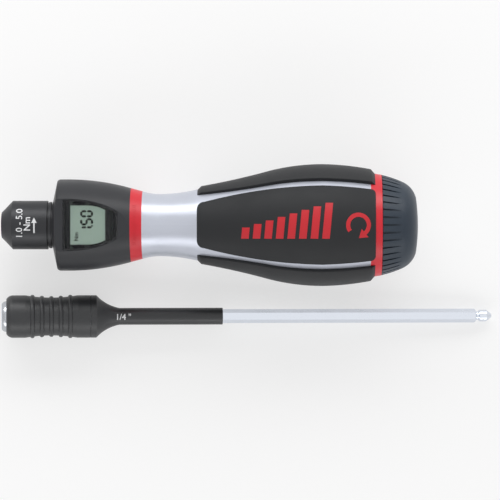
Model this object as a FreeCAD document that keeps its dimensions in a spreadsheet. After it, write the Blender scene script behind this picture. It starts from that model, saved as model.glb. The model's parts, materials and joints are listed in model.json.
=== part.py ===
"""Torque screwdriver with a display head and its interchangeable blade, in millimetres.

Two tools lie side by side on one surface: the handle with its slip clutch, and the blade that plugs
into its chuck.  Every piece is drawn in its tool's own axes, X along the tool's axis from the working
end and Z towards the display, and one Placement per tool lays it down as it comes to rest.
"""
import FreeCAD, Part
import os
import re

import Sketcher

DOCUMENT = FreeCAD.newDocument("torque_screwdriver")
LEFT, RIGHT = 1, -1  # the side of its own run that an arc bulges to
CLUTCH_BALLS = 4

# Driving dimensions: name, value and meaning.
SIZES = [
    # chuck
    ("nose_length", 15.2, "chuck nose, face to shoulder"),
    ("nose_radius", 8.0, "chuck nose"),
    ("nose_face_radius", 4.2, "flat front face of the chuck nose"),
    ("nose_cone_length", 3.7, "length of the chuck nose's cone"),
    ("nose_wall", 6.0, "depth from the nose's face to the spindle inside it"),
    ("mouth_chamfer", 0.4, "chamfer round the chuck's mouth"),
    ("lead_radius", 2.6, "round lead-in of the chuck's mouth"),
    ("lead_length", 2.4, "length of that lead-in with its chamfer"),
    ("hex_clearance", 0.1, "play across the flats of a blade or bit in its socket"),
    ("spindle_radius", 4.0, "drive spindle"),
    ("spindle_tail", 0.5, "spindle's end behind the clutch cam"),
    ("blade_depth", 26.0, "depth of the blade socket from the nose's face"),
    ("detent_ball_radius", 1.0, "ball that drops into the blade's groove"),
    ("detent_ring_width", 1.2, "spring ring over that ball"),
    ("detent_ring_thickness", 0.5, "radial thickness of the spring ring"),
    # neck between chuck and head
    ("neck_gap", 0.5, "groove each side of the neck ring"),
    ("neck_ring_width", 0.8, "neck ring"),
    ("neck_ring_radius", 7.65, "neck ring"),
    ("neck_core_radius", 7.0, "floor of the grooves at the neck"),
    ("running_clearance", 0.05, "radial play of a turning fit"),
    ("face_clearance", 0.1, "axial play between turning faces"),
    # head
    ("head_length", 25.6, "display head"),
    ("head_radius", 15.05, "display head at its widest"),
    ("head_face_radius", 7.9, "front edge of the head's cone"),
    ("head_cone_length", 1.5, "steep front cone"),
    ("head_shoulder_radius", 14.67, "head where the cone meets the rounding"),
    ("head_round_length", 1.0, "rounding behind the cone"),
    ("head_round_bend", 1.6, "radius of that rounding"),
    ("head_straight_length", 2.5, "cylindrical stretch behind the rounding"),
    ("head_bend", 75.0, "radius of the head's long taper"),
    ("facet_height", 12.35, "flat display facet above the axis"),
    ("window_offset", 3.8, "head's front to the window"),
    ("window_length", 17.9, "display window"),
    ("window_front_half", 8.2, "half width of the window in front"),
    ("window_rear_half", 4.3, "half width of the window at the back"),
    ("window_bend", 30.0, "radius of the window's long edges"),
    ("window_thickness", 1.0, "clear window plate"),
    ("window_clearance", 0.05, "joint round the window plate"),
    ("window_lip", 0.5, "lip that the window rests on"),
    ("mask_thickness", 0.15, "printed mask under the window"),
    ("view_offset", 2.5, "window's front to the visible display"),
    ("view_length", 11.35, "visible display"),
    ("view_straight_length", 5.9, "straight part of the visible display"),
    ("view_front_half", 6.37, "half width of the visible display in front"),
    ("view_rear_half", 4.85, "half width of the visible display at the back"),
    ("view_bend", 10.5, "radius of the visible display's rear edges"),
    ("lcd_thickness", 1.15, "display glass"),
    ("board_thickness", 0.8, "circuit board"),
    ("cell_inset", 6.9, "coin cell's middle to the battery cover's front edge"),
    ("cell_radius", 6.25, "coin cell"),
    ("cell_height", 2.5, "coin cell"),
    ("cell_clearance", 0.2, "play round the coin cell"),
    ("contact_thickness", 0.3, "battery contact leaf"),
    ("contact_length", 8.0, "battery contact leaf"),
    ("contact_width", 4.0, "battery contact leaf"),
    ("cover_offset", 2.9, "head's front to the battery cover"),
    ("cover_length", 19.2, "battery cover"),
    ("cover_half_width", 6.9, "battery cover"),
    ("cover_corner", 3.0, "corner radius of the battery cover"),
    ("cover_depth", 10.2, "axis to the battery cover's inner face"),
    ("cover_clearance", 0.12, "joint round the battery cover"),
    ("screw_inset", 2.5, "cover screw to the battery cover's rear edge"),
    ("screw_head_radius", 1.6, "cover screw's head"),
    ("screw_head_height", 0.9, "cover screw's head"),
    ("screw_shank_radius", 0.8, "cover screw's shank"),
    ("screw_seat_depth", 11.8, "axis to the seat of the screw's head"),
    ("screw_length", 3.6, "cover screw's shank under its head"),
    ("screw_slot_width", 0.5, "cover screw's cross slot"),
    ("screw_slot_depth", 0.4, "cover screw's cross slot"),
    # red front band and silver body
    ("band_length", 3.8, "red front band"),
    ("band_rear_radius", 11.15, "band where it meets the silver body"),
    ("waist_length", 5.6, "band to the narrowest place of the body"),
    ("waist_radius", 10.25, "body at its narrowest"),
    ("waist_front_bend", 18.0, "radius in front of the waist"),
    ("waist_rear_length", 12.0, "waist to the body's flank"),
    ("waist_rear_bend", 51.7, "radius behind the waist"),
    ("shoulder_radius", 11.66, "body where the flank begins"),
    ("flank_length", 24.5, "rising flank"),
    ("flank_radius", 16.75, "body where the flank meets the belly"),
    ("flank_bend", 240.0, "hollow curve of the flank"),
    ("belly_length", 17.0, "flank to the widest place"),
    ("belly_radius", 18.83, "body at its widest"),
    ("belly_bend", 72.0, "radius of the belly in front"),
    ("tail_length", 17.2, "widest place to the body's end"),
    ("tail_radius", 16.95, "body at its end"),
    ("tail_bend", 92.0, "radius of the belly behind"),
    # grip pads
    ("pad_offset", 0.5, "flank's start to the pads"),
    ("pad_depth", 1.2, "how deep the pads are let into the body"),
    ("flush_raise", 0.2, "display and back pads above the body"),
    ("side_raise", 1.25, "side pads above the body"),
    ("side_front_raise", 1.19, "side pads above the shoulder, behind their front bevel"),
    ("side_rear_raise", 1.47, "side pads above the body's end, before their rear bevel"),
    ("side_front_bevel", 1.2, "front bevel of the side pads"),
    ("side_rear_bevel", 1.3, "rear bevel of the side pads"),
    ("side_angle_front", 56.3, "side pad's edge from the display direction, in front"),
    ("side_angle_middle", 49.6, "the same at the belly"),
    ("side_angle_rear", 50.4, "the same at the rear"),
    ("panel_front_half", 7.55, "half width of the display and back pads in front"),
    ("panel_belly_half", 12.9, "half width of those pads at the belly"),
    ("panel_rear_half", 11.7, "half width of those pads at the rear"),
    ("panel_flank_bend", 160.0, "radius of those pads' edges along the flank"),
    ("panel_tail_bend", 160.0, "radius of those pads' edges along the tail"),
    ("panel_front_corner", 2.3, "rounded front corners of those pads"),
    ("panel_rear_corner", 1.6, "rounded rear corners of those pads"),
    # rear ring and adjusting cap
    ("ring_lap", 1.5, "red rear ring's lap under the silver lines"),
    ("ring_length", 2.2, "red rear ring"),
    ("ring_rear_radius", 16.6, "red rear ring at the cap"),
    ("cap_clearance", 0.15, "gap between ring and cap"),
    ("cap_front_radius", 16.5, "cap's front edge"),
    ("cap_taper_length", 6.3, "grooved taper of the cap"),
    ("cap_taper_radius", 14.45, "cap at the taper's end"),
    ("cap_taper_bend", 40.0, "radius of the cap's taper"),
    ("cap_round_length", 4.9, "rounding of the cap"),
    ("cap_round_radius", 9.2, "cap where its end begins"),
    ("cap_round_bend", 8.05, "radius of the cap's rounding"),
    ("cap_dome", 0.7, "height of the cap's domed end"),
    ("cap_dome_bend", 60.8, "radius of the cap's domed end"),
    ("cap_wall", 3.0, "cap's wall and end"),
    ("cap_hub_radius", 5.5, "cap's hub round the screw"),
    ("cap_screw_depth", 8.0, "adjusting screw's depth in the cap's hub"),
    ("groove_width", 0.62, "cap's grip grooves"),
    ("groove_depth", 0.5, "depth of those grooves at the cap's front"),
    ("groove_length", 7.3, "length of those grooves"),
    ("groove_count", 40, "number of those grooves"),
    # clutch tube and bushes
    ("tube_front_radius", 6.2, "clutch tube in head and neck"),
    ("tube_front_bore", 5.0, "its bore there"),
    ("tube_radius", 9.0, "clutch tube in the grip"),
    ("tube_bore", 8.2, "its bore there"),
    ("tube_step_offset", 13.6, "body's front to the clutch tube's step"),
    ("tube_step_wall", 2.0, "axial wall of that step"),
    ("bush_length", 7.0, "front bush inside the head"),
    ("neck_bush_offset", 3.6, "body's front to the neck bush"),
    ("neck_bush_length", 8.0, "neck bush"),
    # slip clutch
    ("cam_offset", 19.6, "body's front to the clutch cam"),
    ("cam_thickness", 5.5, "clutch cam"),
    ("cam_radius", 7.9, "clutch cam"),
    ("cam_notches", 12, "notches of the clutch cam"),
    ("pin_radius", 1.2, "cross pin through cam and spindle"),
    ("pin_half_length", 7.5, "cross pin"),
    ("clutch_ball_radius", 1.5, "clutch balls"),
    ("clutch_ball_circle", 5.9, "radius of the balls' circle"),
    ("clutch_ball_sink", 0.9, "how deep the balls sit in the cam's notches"),
    ("pocket_clearance", 0.03, "play of a ball in its pocket"),
    ("thrust_gap", 0.9, "cam to pressure ring"),
    ("thrust_ring_length", 4.6, "pressure ring"),
    ("thrust_ring_bore", 4.3, "pressure ring"),
    ("lug_reach", 8.85, "reach of the sliding lugs from the axis"),
    ("lug_width", 2.4, "sliding lugs"),
    ("slot_clearance", 0.1, "play of the lugs in the tube's slots"),
    ("thrust_travel", 1.0, "pressure ring's travel as the clutch slips"),
    ("spring_length", 26.0, "torque spring as set"),
    ("spring_wire", 1.3, "wire radius of the torque spring"),
    ("spring_coil", 6.3, "coil radius of the torque spring"),
    ("spring_turns", 4.75, "turns of the torque spring"),
    ("nut_length", 6.0, "spring nut"),
    ("nut_radius", 8.0, "spring nut"),
    ("nut_forward", 7.0, "nut's travel to the highest torque"),
    ("nut_back", 1.0, "nut's travel to the lowest torque"),
    ("magnet_radius", 1.0, "position magnet in the spring nut"),
    ("magnet_length", 2.0, "position magnet"),
    ("screw_radius", 3.0, "adjusting screw"),
    ("screw_reach", 1.0, "screw's end in front of the nut's foremost place"),
    ("collar_radius", 5.5, "adjusting screw's thrust collar"),
    ("collar_length", 2.0, "thrust collar"),
    ("washer_thickness", 1.0, "thrust washer"),
    ("rear_bush_length", 3.5, "rear bush inside the clutch tube"),
    ("rear_flange_length", 1.5, "rear bush's flange"),
    ("rear_spigot_radius", 8.0, "rear bush's spigot in the red ring"),
    # blade: bit holder
    ("blade_hex", 4.0, "blade across its flats"),
    ("bit_hex", 6.35, "bit across its flats"),
    ("bit_depth", 12.0, "depth of the bit socket"),
    ("bit_lead_radius", 3.85, "round lead-in of the bit socket"),
    ("bit_lead_length", 1.5, "length of that lead-in"),
    ("socket_face_radius", 4.3, "front face of the socket"),
    ("socket_radius", 5.1, "bright collar of the socket"),
    ("socket_collar_length", 3.2, "bright collar of the socket"),
    ("socket_core_radius", 4.6, "socket inside the sleeve"),
    ("socket_bend", 1.7, "rounding of the socket's front edge"),
    ("bit_magnet_radius", 3.0, "magnet behind the bit"),
    ("bit_magnet_length", 3.0, "magnet behind the bit"),
    ("shank_offset", 17.0, "socket's front to the shank inside it"),
    ("lock_ball_radius", 1.1, "ball that locks the bit"),
    ("lock_ball_offset", 6.5, "socket's front to that ball"),
    ("lock_ball_bite", 0.4, "how far the ball reaches past the hexagon's flat"),
    ("snap_ring_offset", 10.0, "socket's front to the snap ring"),
    ("snap_ring_width", 0.8, "snap ring"),
    ("snap_ring_radius", 5.5, "snap ring"),
    ("snap_groove_radius", 4.2, "groove of the snap ring"),
    # blade: release sleeve
    ("sleeve_offset", 1.5, "socket's front to the sleeve"),
    ("sleeve_nose_radius", 5.8, "sleeve's front edge"),
    ("sleeve_nose_length", 2.0, "rounding of the sleeve's front"),
    ("sleeve_nose_bend", 2.5, "rounding of the sleeve's front"),
    ("sleeve_radius", 7.06, "sleeve at both ends"),
    ("sleeve_front_length", 6.3, "sleeve's front to the hollow"),
    ("sleeve_hollow_length", 17.2, "hollow stretch of the sleeve"),
    ("sleeve_waist_radius", 6.3, "sleeve at the middle of the hollow"),
    ("sleeve_gap", 0.1, "play behind the sleeve"),
    ("rib_pitch", 3.12, "grip ribs of the sleeve"),
    ("rib_half_width", 0.75, "grip ribs"),
    ("rib_bend", 0.82, "radius of the grip ribs' crowns"),
    ("rib_count", 5, "number of grip ribs"),
    ("sleeve_play", 0.1, "radial play of the sleeve on the socket"),
    ("sleeve_chamber_offset", 8.3, "sleeve's front to its spring chamber"),
    ("sleeve_chamber_length", 10.2, "sleeve's spring chamber"),
    ("sleeve_chamber_radius", 5.7, "sleeve's spring chamber"),
    ("sleeve_wire", 0.35, "wire radius of the sleeve's spring"),
    ("sleeve_coil", 5.2, "coil radius of the sleeve's spring"),
    ("sleeve_spring_turns", 5.0, "turns of the sleeve's spring"),
    # blade: holder body and shank
    ("socket_length", 29.4, "socket, to the holder's flange"),
    ("flange_length", 1.9, "holder's flange"),
    ("flange_radius", 7.06, "holder's flange"),
    ("flare_length", 7.7, "flare from the flange to the tube"),
    ("flare_bend", 14.0, "hollow radius of the flare"),
    ("sheath_radius", 2.8, "black tube round the shank"),
    ("sheath_end", 73.3, "socket's front to the tube's end"),
    ("shank_end", 157.8, "socket's front to the end of the full hexagon"),
    ("shank_chamfer", 0.5, "chamfer at the hexagon's end"),
    ("groove_offset", 0.8, "hexagon's end to the detent groove"),
    ("detent_groove_radius", 1.42, "detent groove"),
    ("detent_groove_length", 0.6, "detent groove"),
    ("tip_shoulder_length", 0.4, "groove to the round nose"),
    ("tip_radius", 1.95, "round nose of the shank"),
    ("tip_length", 2.3, "round nose of the shank"),
    ("tip_cone_length", 1.7, "cone of the shank's tip"),
    ("tip_face_radius", 0.63, "flat tip"),
    # how the two tools lie
    ("blade_distance", 30.35, "handle's axis to the blade's axis"),
    ("blade_lead", 0.36, "blade's front beyond the chuck's face"),
]

# Places and sizes that follow from the driving dimensions.
FORMULAS = {
    "hex_socket_half": "(blade_hex + hex_clearance) / 2",
    "bit_socket_half": "(bit_hex + hex_clearance) / 2",
    "spindle_bore": "spindle_radius + running_clearance",
    # along the handle
    "neck_ring_start": "nose_length + neck_gap",
    "neck_ring_end": "neck_ring_start + neck_ring_width",
    "head_start": "neck_ring_end + neck_gap",
    "head_round_end": "head_start + head_cone_length + head_round_length",
    "head_taper_start": "head_round_end + head_straight_length",
    "band_start": "head_start + head_length",
    "head_taper_length": "band_start - head_taper_start",
    "head_end_radius": "head_radius - head_bend + sqrt(head_bend ^ 2 - head_taper_length ^ 2)",
    "body_start": "band_start + band_length",
    "waist_place": "body_start + waist_length",
    "flank_start": "waist_place + waist_rear_length",
    "flank_end": "flank_start + flank_length",
    "belly_place": "flank_end + belly_length",
    "body_end": "belly_place + tail_length",
    "pad_start": "flank_start + pad_offset",
    "lap_start": "body_end - ring_lap",
    "ring_end": "body_end + ring_length",
    "cap_start": "ring_end + cap_clearance",
    "cap_taper_end": "cap_start + cap_taper_length",
    "cap_round_end": "cap_taper_end + cap_round_length",
    "cap_end": "cap_round_end + cap_dome",
    # inside the head
    "window_start": "head_start + window_offset",
    "window_end": "window_start + window_length",
    "window_seat": "facet_height - window_thickness",
    "mask_seat": "window_seat - mask_thickness",
    "lcd_seat": "mask_seat - lcd_thickness",
    "board_seat": "lcd_seat - board_thickness",
    "view_start": "window_start + view_offset",
    "view_bend_start": "view_start + view_straight_length",
    "view_end": "view_start + view_length",
    "cell_place": "cover_start + cell_inset",
    "cell_pocket_radius": "cell_radius + cell_clearance",
    "cell_floor": "cover_depth - cell_height",
    "contact_floor": "cell_floor - contact_thickness",
    "cover_start": "head_start + cover_offset",
    "cover_end": "cover_start + cover_length",
    "screw_place": "cover_end - screw_inset",
    # clutch
    "bush_end": "head_start + bush_length",
    "tube_step": "body_start + tube_step_offset",
    "tube_bore_start": "tube_step + tube_step_wall",
    "neck_bush_start": "body_start + neck_bush_offset",
    "cam_start": "body_start + cam_offset",
    "cam_end": "cam_start + cam_thickness",
    "pin_place": "cam_start + cam_thickness / 2",
    "spindle_end": "cam_end + spindle_tail",
    "ball_place": "cam_end + clutch_ball_radius - clutch_ball_sink",
    "pocket_radius": "clutch_ball_radius + pocket_clearance",
    "thrust_start": "cam_end + thrust_gap",
    "thrust_end": "thrust_start + thrust_ring_length",
    "nut_start": "thrust_end + spring_length",
    "nut_end": "nut_start + nut_length",
    "flange_start": "body_end - rear_flange_length",
    "rear_bush_start": "flange_start - rear_bush_length",
    "washer_start": "rear_bush_start - washer_thickness",
    "collar_start": "washer_start - collar_length",
    "screw_start": "nut_start - nut_forward - screw_reach",
    "screw_end": "cap_start + cap_screw_depth",
    "screw_bore": "screw_radius + running_clearance",
    "slot_half": "lug_width / 2 + slot_clearance",
    # blade
    "detent_groove_start": "shank_end + groove_offset",
    "detent_groove_end": "detent_groove_start + detent_groove_length",
    "tip_start": "detent_groove_end + tip_shoulder_length",
    "tip_cone_start": "tip_start + tip_length",
    "blade_end": "tip_cone_start + tip_cone_length",
    "detent_place": "blade_depth - blade_end + detent_groove_start + detent_groove_length / 2",
    "detent_ball_height": "detent_groove_radius + detent_ball_radius",
    "detent_ring_bore": "detent_ball_height + detent_ball_radius",
    "lock_ball_height": "bit_socket_half - lock_ball_bite + lock_ball_radius",
    "snap_ring_end": "snap_ring_offset + snap_ring_width",
    "sleeve_hollow_start": "sleeve_offset + sleeve_front_length",
    "sleeve_hollow_end": "sleeve_hollow_start + sleeve_hollow_length",
    "sleeve_middle": "sleeve_hollow_start + sleeve_hollow_length / 2",
    "sleeve_end": "socket_length - sleeve_gap",
    "chamber_start": "sleeve_offset + sleeve_chamber_offset",
    "chamber_end": "chamber_start + sleeve_chamber_length",
    "sheath_flange_end": "socket_length + flange_length",
    "flare_end": "sheath_flange_end + flare_length",
    # how the two tools lie: the handle on its head and back pad, the blade on its flange and nose
    "rest_run": "belly_place - head_round_end",
    "rest_rise": "head_radius - belly_radius - flush_raise + belly_bend",
    "rest_tilt": "asin(belly_bend / sqrt(rest_run ^ 2 + rest_rise ^ 2)) - atan(rest_rise / rest_run)",
    "rest_height": "head_radius * cos(rest_tilt) - head_round_end * sin(rest_tilt)",
    "blade_tilt": "atan((flange_radius - tip_radius) / (tip_cone_start - sheath_flange_end))",
    "blade_height": "flange_radius * cos(blade_tilt) + sheath_flange_end * sin(blade_tilt)",
    "blade_front": "-(blade_end * cos(blade_tilt) + (tip_face_radius - socket_face_radius) * sin(blade_tilt)) / 2",
    "handle_front": "blade_front + blade_lead",
    "rib_crown": "rib_bend - sqrt(rib_bend ^ 2 - rib_half_width ^ 2)",
    "rib_spread": "(rib_count - 1) * rib_pitch / sleeve_hollow_length",
    "sleeve_swell": "(sleeve_radius - sleeve_waist_radius) * rib_spread ^ 2",
    "rib_reach": "sleeve_waist_radius + sleeve_swell + rib_crown",
    "handle_side": "(blade_distance + rib_reach - belly_radius - side_raise) / 2",
    "blade_side": "handle_side - blade_distance",
}
HANDLE = (
    "placement(vector(handle_front; handle_side; rest_height);"
    " rotation(vector(0; 1; 0); -1 * rest_tilt))"
)
BLADE = (
    "placement(vector(blade_front; blade_side; blade_height);"
    " rotation(vector(0; 1; 0); blade_tilt))"
)

NAME = re.compile(r"[a-z]+(?:_[a-z]+)+")
SHEET = DOCUMENT.addObject("Spreadsheet::Sheet", "Sizes")
NODES = []


def fill_sheet():
    """Write each driving dimension into its own cell, under its name."""
    for row, (name, size, meaning) in enumerate(SIZES, start=1):
        SHEET.set(f"A{row}", name)
        SHEET.set(f"B{row}", str(size))
        SHEET.set(f"C{row}", meaning)
        SHEET.setAlias(f"B{row}", name)
    DOCUMENT.recompute()


def spell(formula):
    """Spell a formula out in the sheet's own names."""
    def swap(match):
        name = match.group(0)
        if name in FORMULAS:
            return f"({spell(FORMULAS[name])})"
        return f"Sizes.{name}"
    return NAME.sub(swap, str(formula))


def number(formula):
    """Give the present value of a formula."""
    result = SHEET.evalExpression(spell(formula))
    return float(getattr(result, "Value", result))


def bind(thing, **formulas):
    """Bind properties to formulas; a double underscore stands for the dot in a property's path."""
    for path, formula in formulas.items():
        thing.setExpression(path.replace("__", "."), spell(formula))


def new_body(name):
    """Start a piece."""
    body = DOCUMENT.addObject("PartDesign::Body", name)
    body.Label = name
    return body


def origin(body, role):
    """Find one of a body's own planes or axes."""
    return next(feature for feature in body.Origin.OriginFeatures if feature.Role == role)


def new_sketch(body, plane, offset="0"):
    """Attach a sketch to one of the body's planes, moved along the plane's normal."""
    sketch = body.newObject("Sketcher::SketchObject", f"{body.Name}_outline")
    sketch.AttachmentSupport = [(origin(body, plane), "")]
    sketch.MapMode = "FlatFace"
    if offset != "0":
        bind(sketch, AttachmentOffset__Base__z=offset)
    return sketch


def edge_between(start, end, bend, side):
    """Make a straight edge, or an arc of the given radius."""
    if bend is None:
        return Part.LineSegment(start, end)
    chord = end - start
    sagitta = bend - (bend ** 2 - chord.Length ** 2 / 4) ** 0.5
    across = FreeCAD.Vector(-chord.y, chord.x, 0).normalize()
    middle = (start + end) * 0.5 + across * sagitta * side
    if side == LEFT:  # arcs of a sketch run anticlockwise
        start, end = end, start
    return Part.Arc(start, middle, end)


def draw(sketch, corners):
    """Draw a closed outline.

    A corner is (across, up), or (across, up, bend, side) where an arc of radius bend reaches it.
    """
    corners = [tuple(corner) + (None, LEFT)[len(corner) - 2:] for corner in corners]
    points = [FreeCAD.Vector(number(corner[0]), number(corner[1]), 0) for corner in corners]
    ends = []
    for index, (_, _, bend, side) in enumerate(corners):
        start, end = points[index - 1], points[index]
        bend_size = None if bend is None else number(bend)
        edge = sketch.addGeometry(edge_between(start, end, bend_size, side))
        forward = (sketch.Geometry[edge].StartPoint - start).Length < 1e-6
        ends.append((edge, 1, 2) if forward else (edge, 2, 1))
        if bend is not None:
            limit = sketch.addConstraint(Sketcher.Constraint("Radius", edge, bend_size))
            sketch.setExpression(f"Constraints[{limit}]", spell(bend))
    for index, (edge, _, last) in enumerate(ends):
        follower, first, _ = ends[(index + 1) % len(ends)]
        sketch.addConstraint(Sketcher.Constraint("Coincident", edge, last, follower, first))
        pin_point(sketch, edge, last, corners[index][0], corners[index][1])
    return sketch


def pin_point(sketch, edge, end, across, up):
    """Hold a point at two formulas, or on an axis."""
    for kind, axis, formula in (("DistanceX", -2, across), ("DistanceY", -1, up)):
        if formula == "0":
            sketch.addConstraint(Sketcher.Constraint("PointOnObject", edge, end, axis))
        else:
            limit = sketch.addConstraint(Sketcher.Constraint(kind, -1, 1, edge, end, number(formula)))
            sketch.setExpression(f"Constraints[{limit}]", spell(formula))


def draw_circle(sketch, across, up, radius):
    """Draw a circle."""
    centre = FreeCAD.Vector(number(across), number(up), 0)
    edge = sketch.addGeometry(Part.Circle(centre, FreeCAD.Vector(0, 0, 1), number(radius)))
    limit = sketch.addConstraint(Sketcher.Constraint("Radius", edge, number(radius)))
    sketch.setExpression(f"Constraints[{limit}]", spell(radius))
    pin_point(sketch, edge, 3, across, up)
    return sketch


def draw_hexagon(sketch, half):
    """Draw a hexagon with two flats facing up and down, given half its width across the flats."""
    corner = f"({half}) * 2 / sqrt(3)"
    return draw(sketch, [
        (corner, "0"), (f"{corner} / 2", half), (f"-{corner} / 2", half),
        (f"-{corner}", "0"), (f"-{corner} / 2", f"-1 * ({half})"), (f"{corner} / 2", f"-1 * ({half})"),
    ])


def add_feature(body, kind, sketch, **settings):
    """Add a sketch-based feature with its settings."""
    feature = body.newObject(f"PartDesign::{kind}", f"{body.Name}_{kind.lower()}")
    feature.Profile = sketch
    for name, setting in settings.items():
        setattr(feature, name, setting)
    return feature


def turn(body, corners, kind="Revolution"):
    """Turn an outline, drawn as places along the axis and radii, into a solid or a groove."""
    sketch = draw(new_sketch(body, "XZ_Plane"), corners)
    return add_feature(body, kind, sketch, ReferenceAxis=(sketch, ["H_Axis"]), Angle=360)


def extrude(body, kind, sketch, length, backwards=False, symmetric=False):
    """Pad or pocket a sketch by a length along its normal, against it, or half each way."""
    feature = add_feature(body, kind, sketch)
    feature.Reversed = backwards != (kind == "Pocket")
    feature.SideType = "Symmetric" if symmetric else "One side"
    bind(feature, Length=length)
    return feature


def add_ball(body, kind, radius, along, height):
    """Add or cut a sphere above the axis."""
    ball = body.newObject(f"PartDesign::{kind}Sphere", f"{body.Name}_ball")
    bind(ball, Radius=radius, Placement__Base__x=along, Placement__Base__z=height)
    return ball


def repeat_round(body, feature, count):
    """Repeat a feature round the tool's axis."""
    pattern = body.newObject("PartDesign::PolarPattern", f"{body.Name}_pattern")
    pattern.Originals = [feature]
    pattern.Axis = (origin(body, "X_Axis"), [""])
    pattern.Angle = 360
    bind(pattern, Occurrences=count)
    body.Tip = pattern
    return pattern


def coil(body, start, wire, radius, turns, length):
    """Wind a round wire about the tool's axis."""
    sketch = draw_circle(new_sketch(body, "XZ_Plane"), start, radius, wire)
    helix = body.newObject("PartDesign::AdditiveHelix", f"{body.Name}_helix")
    helix.Profile = sketch
    helix.ReferenceAxis = (sketch, ["H_Axis"])
    helix.Mode = "height-turns-angle"
    bind(helix, Height=length, Turns=turns)
    return helix


def combine(name, kind, base, tool):
    """Join, cut or intersect two pieces."""
    result = DOCUMENT.addObject(f"Part::{kind}", name)
    result.Label = name
    result.Base = base
    result.Tool = tool
    return result


def fuse_all(name, pieces):
    """Join several pieces."""
    result = DOCUMENT.addObject("Part::MultiFuse", name)
    result.Label = name
    result.Shapes = pieces
    return result


def lay(piece, tool):
    """Lay a finished piece down with its tool."""
    bind(piece, Placement=tool)
    NODES.append(piece)
    return piece


# ---------------------------------------------------------------- chuck

def make_chuck_nose():
    """Black nose that the blade plugs into: round lead-in, then a hexagon."""
    body = new_body("chuck_nose")
    turn(body, [
        ("0", "lead_radius + mouth_chamfer"), ("0", "nose_face_radius"),
        ("nose_cone_length", "nose_radius"), ("nose_length", "nose_radius"),
        ("nose_length", "neck_core_radius"), ("neck_ring_start - face_clearance", "neck_core_radius"),
        ("neck_ring_start - face_clearance", "spindle_radius"), ("nose_wall", "spindle_radius"),
        ("nose_wall", "0"), ("lead_length", "0"), ("lead_length", "lead_radius"),
        ("mouth_chamfer", "lead_radius"),
    ])
    hexagon = draw_hexagon(new_sketch(body, "YZ_Plane", "lead_length"), "hex_socket_half")
    extrude(body, "Pocket", hexagon, "nose_wall - lead_length")
    lay(body, HANDLE)


def make_drive_spindle():
    """Steel spindle from the nose to the clutch cam, with the rest of the blade socket in it."""
    body = new_body("drive_spindle")
    turn(body, [
        ("nose_wall", "0"), ("nose_wall", "spindle_radius"),
        ("detent_place - detent_ring_width / 2", "spindle_radius"),
        ("detent_place - detent_ring_width / 2", "detent_ring_bore"),
        ("detent_place + detent_ring_width / 2", "detent_ring_bore"),
        ("detent_place + detent_ring_width / 2", "spindle_radius"),
        ("spindle_end", "spindle_radius"), ("spindle_end", "0"),
    ])
    hexagon = draw_hexagon(new_sketch(body, "YZ_Plane", "nose_wall"), "hex_socket_half")
    extrude(body, "Pocket", hexagon, "blade_depth - nose_wall")
    ball_hole = draw_circle(
        new_sketch(body, "XY_Plane"), "detent_place", "0", "detent_ball_radius + pocket_clearance")
    extrude(body, "Pocket", ball_hole, "spindle_radius")
    pin_hole = draw_circle(new_sketch(body, "XZ_Plane"), "pin_place", "0", "pin_radius")
    extrude(body, "Pocket", pin_hole, "3 * spindle_radius", symmetric=True)
    lay(body, HANDLE)


def make_detent():
    """Ball and spring ring that hold the blade by its groove."""
    ball = new_body("detent_ball")
    add_ball(ball, "Additive", "detent_ball_radius", "detent_place", "detent_ball_height")
    lay(ball, HANDLE)
    ring = new_body("detent_ring")
    turn(ring, [
        ("detent_place - detent_ring_width / 2", "detent_ring_bore"),
        ("detent_place - detent_ring_width / 2", "detent_ring_bore + detent_ring_thickness"),
        ("detent_place + detent_ring_width / 2", "detent_ring_bore + detent_ring_thickness"),
        ("detent_place + detent_ring_width / 2", "detent_ring_bore"),
    ])
    split = draw(new_sketch(ring, "XY_Plane"), [
        ("detent_place - detent_ring_width", "-1 * detent_ring_width"),
        ("detent_place + detent_ring_width", "-1 * detent_ring_width"),
        ("detent_place + detent_ring_width", "detent_ring_width"),
        ("detent_place - detent_ring_width", "detent_ring_width"),
    ])
    extrude(ring, "Pocket", split, "2 * spindle_radius", backwards=True)
    lay(ring, HANDLE)


def make_clutch_cam():
    """Cam disc on the spindle, with a ring of ball notches in its rear face."""
    body = new_body("clutch_cam")
    turn(body, [
        ("cam_start", "spindle_radius"), ("cam_start", "cam_radius"),
        ("cam_end", "cam_radius"), ("cam_end", "spindle_radius"),
    ])
    pin_hole = draw_circle(new_sketch(body, "XZ_Plane"), "pin_place", "0", "pin_radius")
    extrude(body, "Pocket", pin_hole, "3 * cam_radius", symmetric=True)
    notch = add_ball(body, "Subtractive", "pocket_radius", "ball_place", "clutch_ball_circle")
    repeat_round(body, notch, "cam_notches")
    lay(body, HANDLE)


def make_cross_pin():
    """Pin that ties the cam to the spindle."""
    body = new_body("cross_pin")
    circle = draw_circle(new_sketch(body, "XZ_Plane"), "pin_place", "0", "pin_radius")
    extrude(body, "Pad", circle, "2 * pin_half_length", symmetric=True)
    lay(body, HANDLE)


# ---------------------------------------------------------------- neck, tube and bushes

def make_neck_ring():
    """Black ring between chuck and head."""
    body = new_body("neck_ring")
    turn(body, [
        ("neck_ring_start", "spindle_bore"), ("neck_ring_start", "neck_ring_radius"),
        ("neck_ring_end", "neck_ring_radius"), ("neck_ring_end", "spindle_bore"),
    ])
    lay(body, HANDLE)


def make_front_bush():
    """Bronze bush in the head's front, with a flange that carries the neck ring."""
    body = new_body("front_bush")
    turn(body, [
        ("neck_ring_end", "spindle_bore"), ("neck_ring_end", "neck_core_radius"),
        ("head_start", "neck_core_radius"), ("head_start", "tube_front_radius"),
        ("bush_end", "tube_front_radius"), ("bush_end", "spindle_bore"),
    ])
    lay(body, HANDLE)


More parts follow.
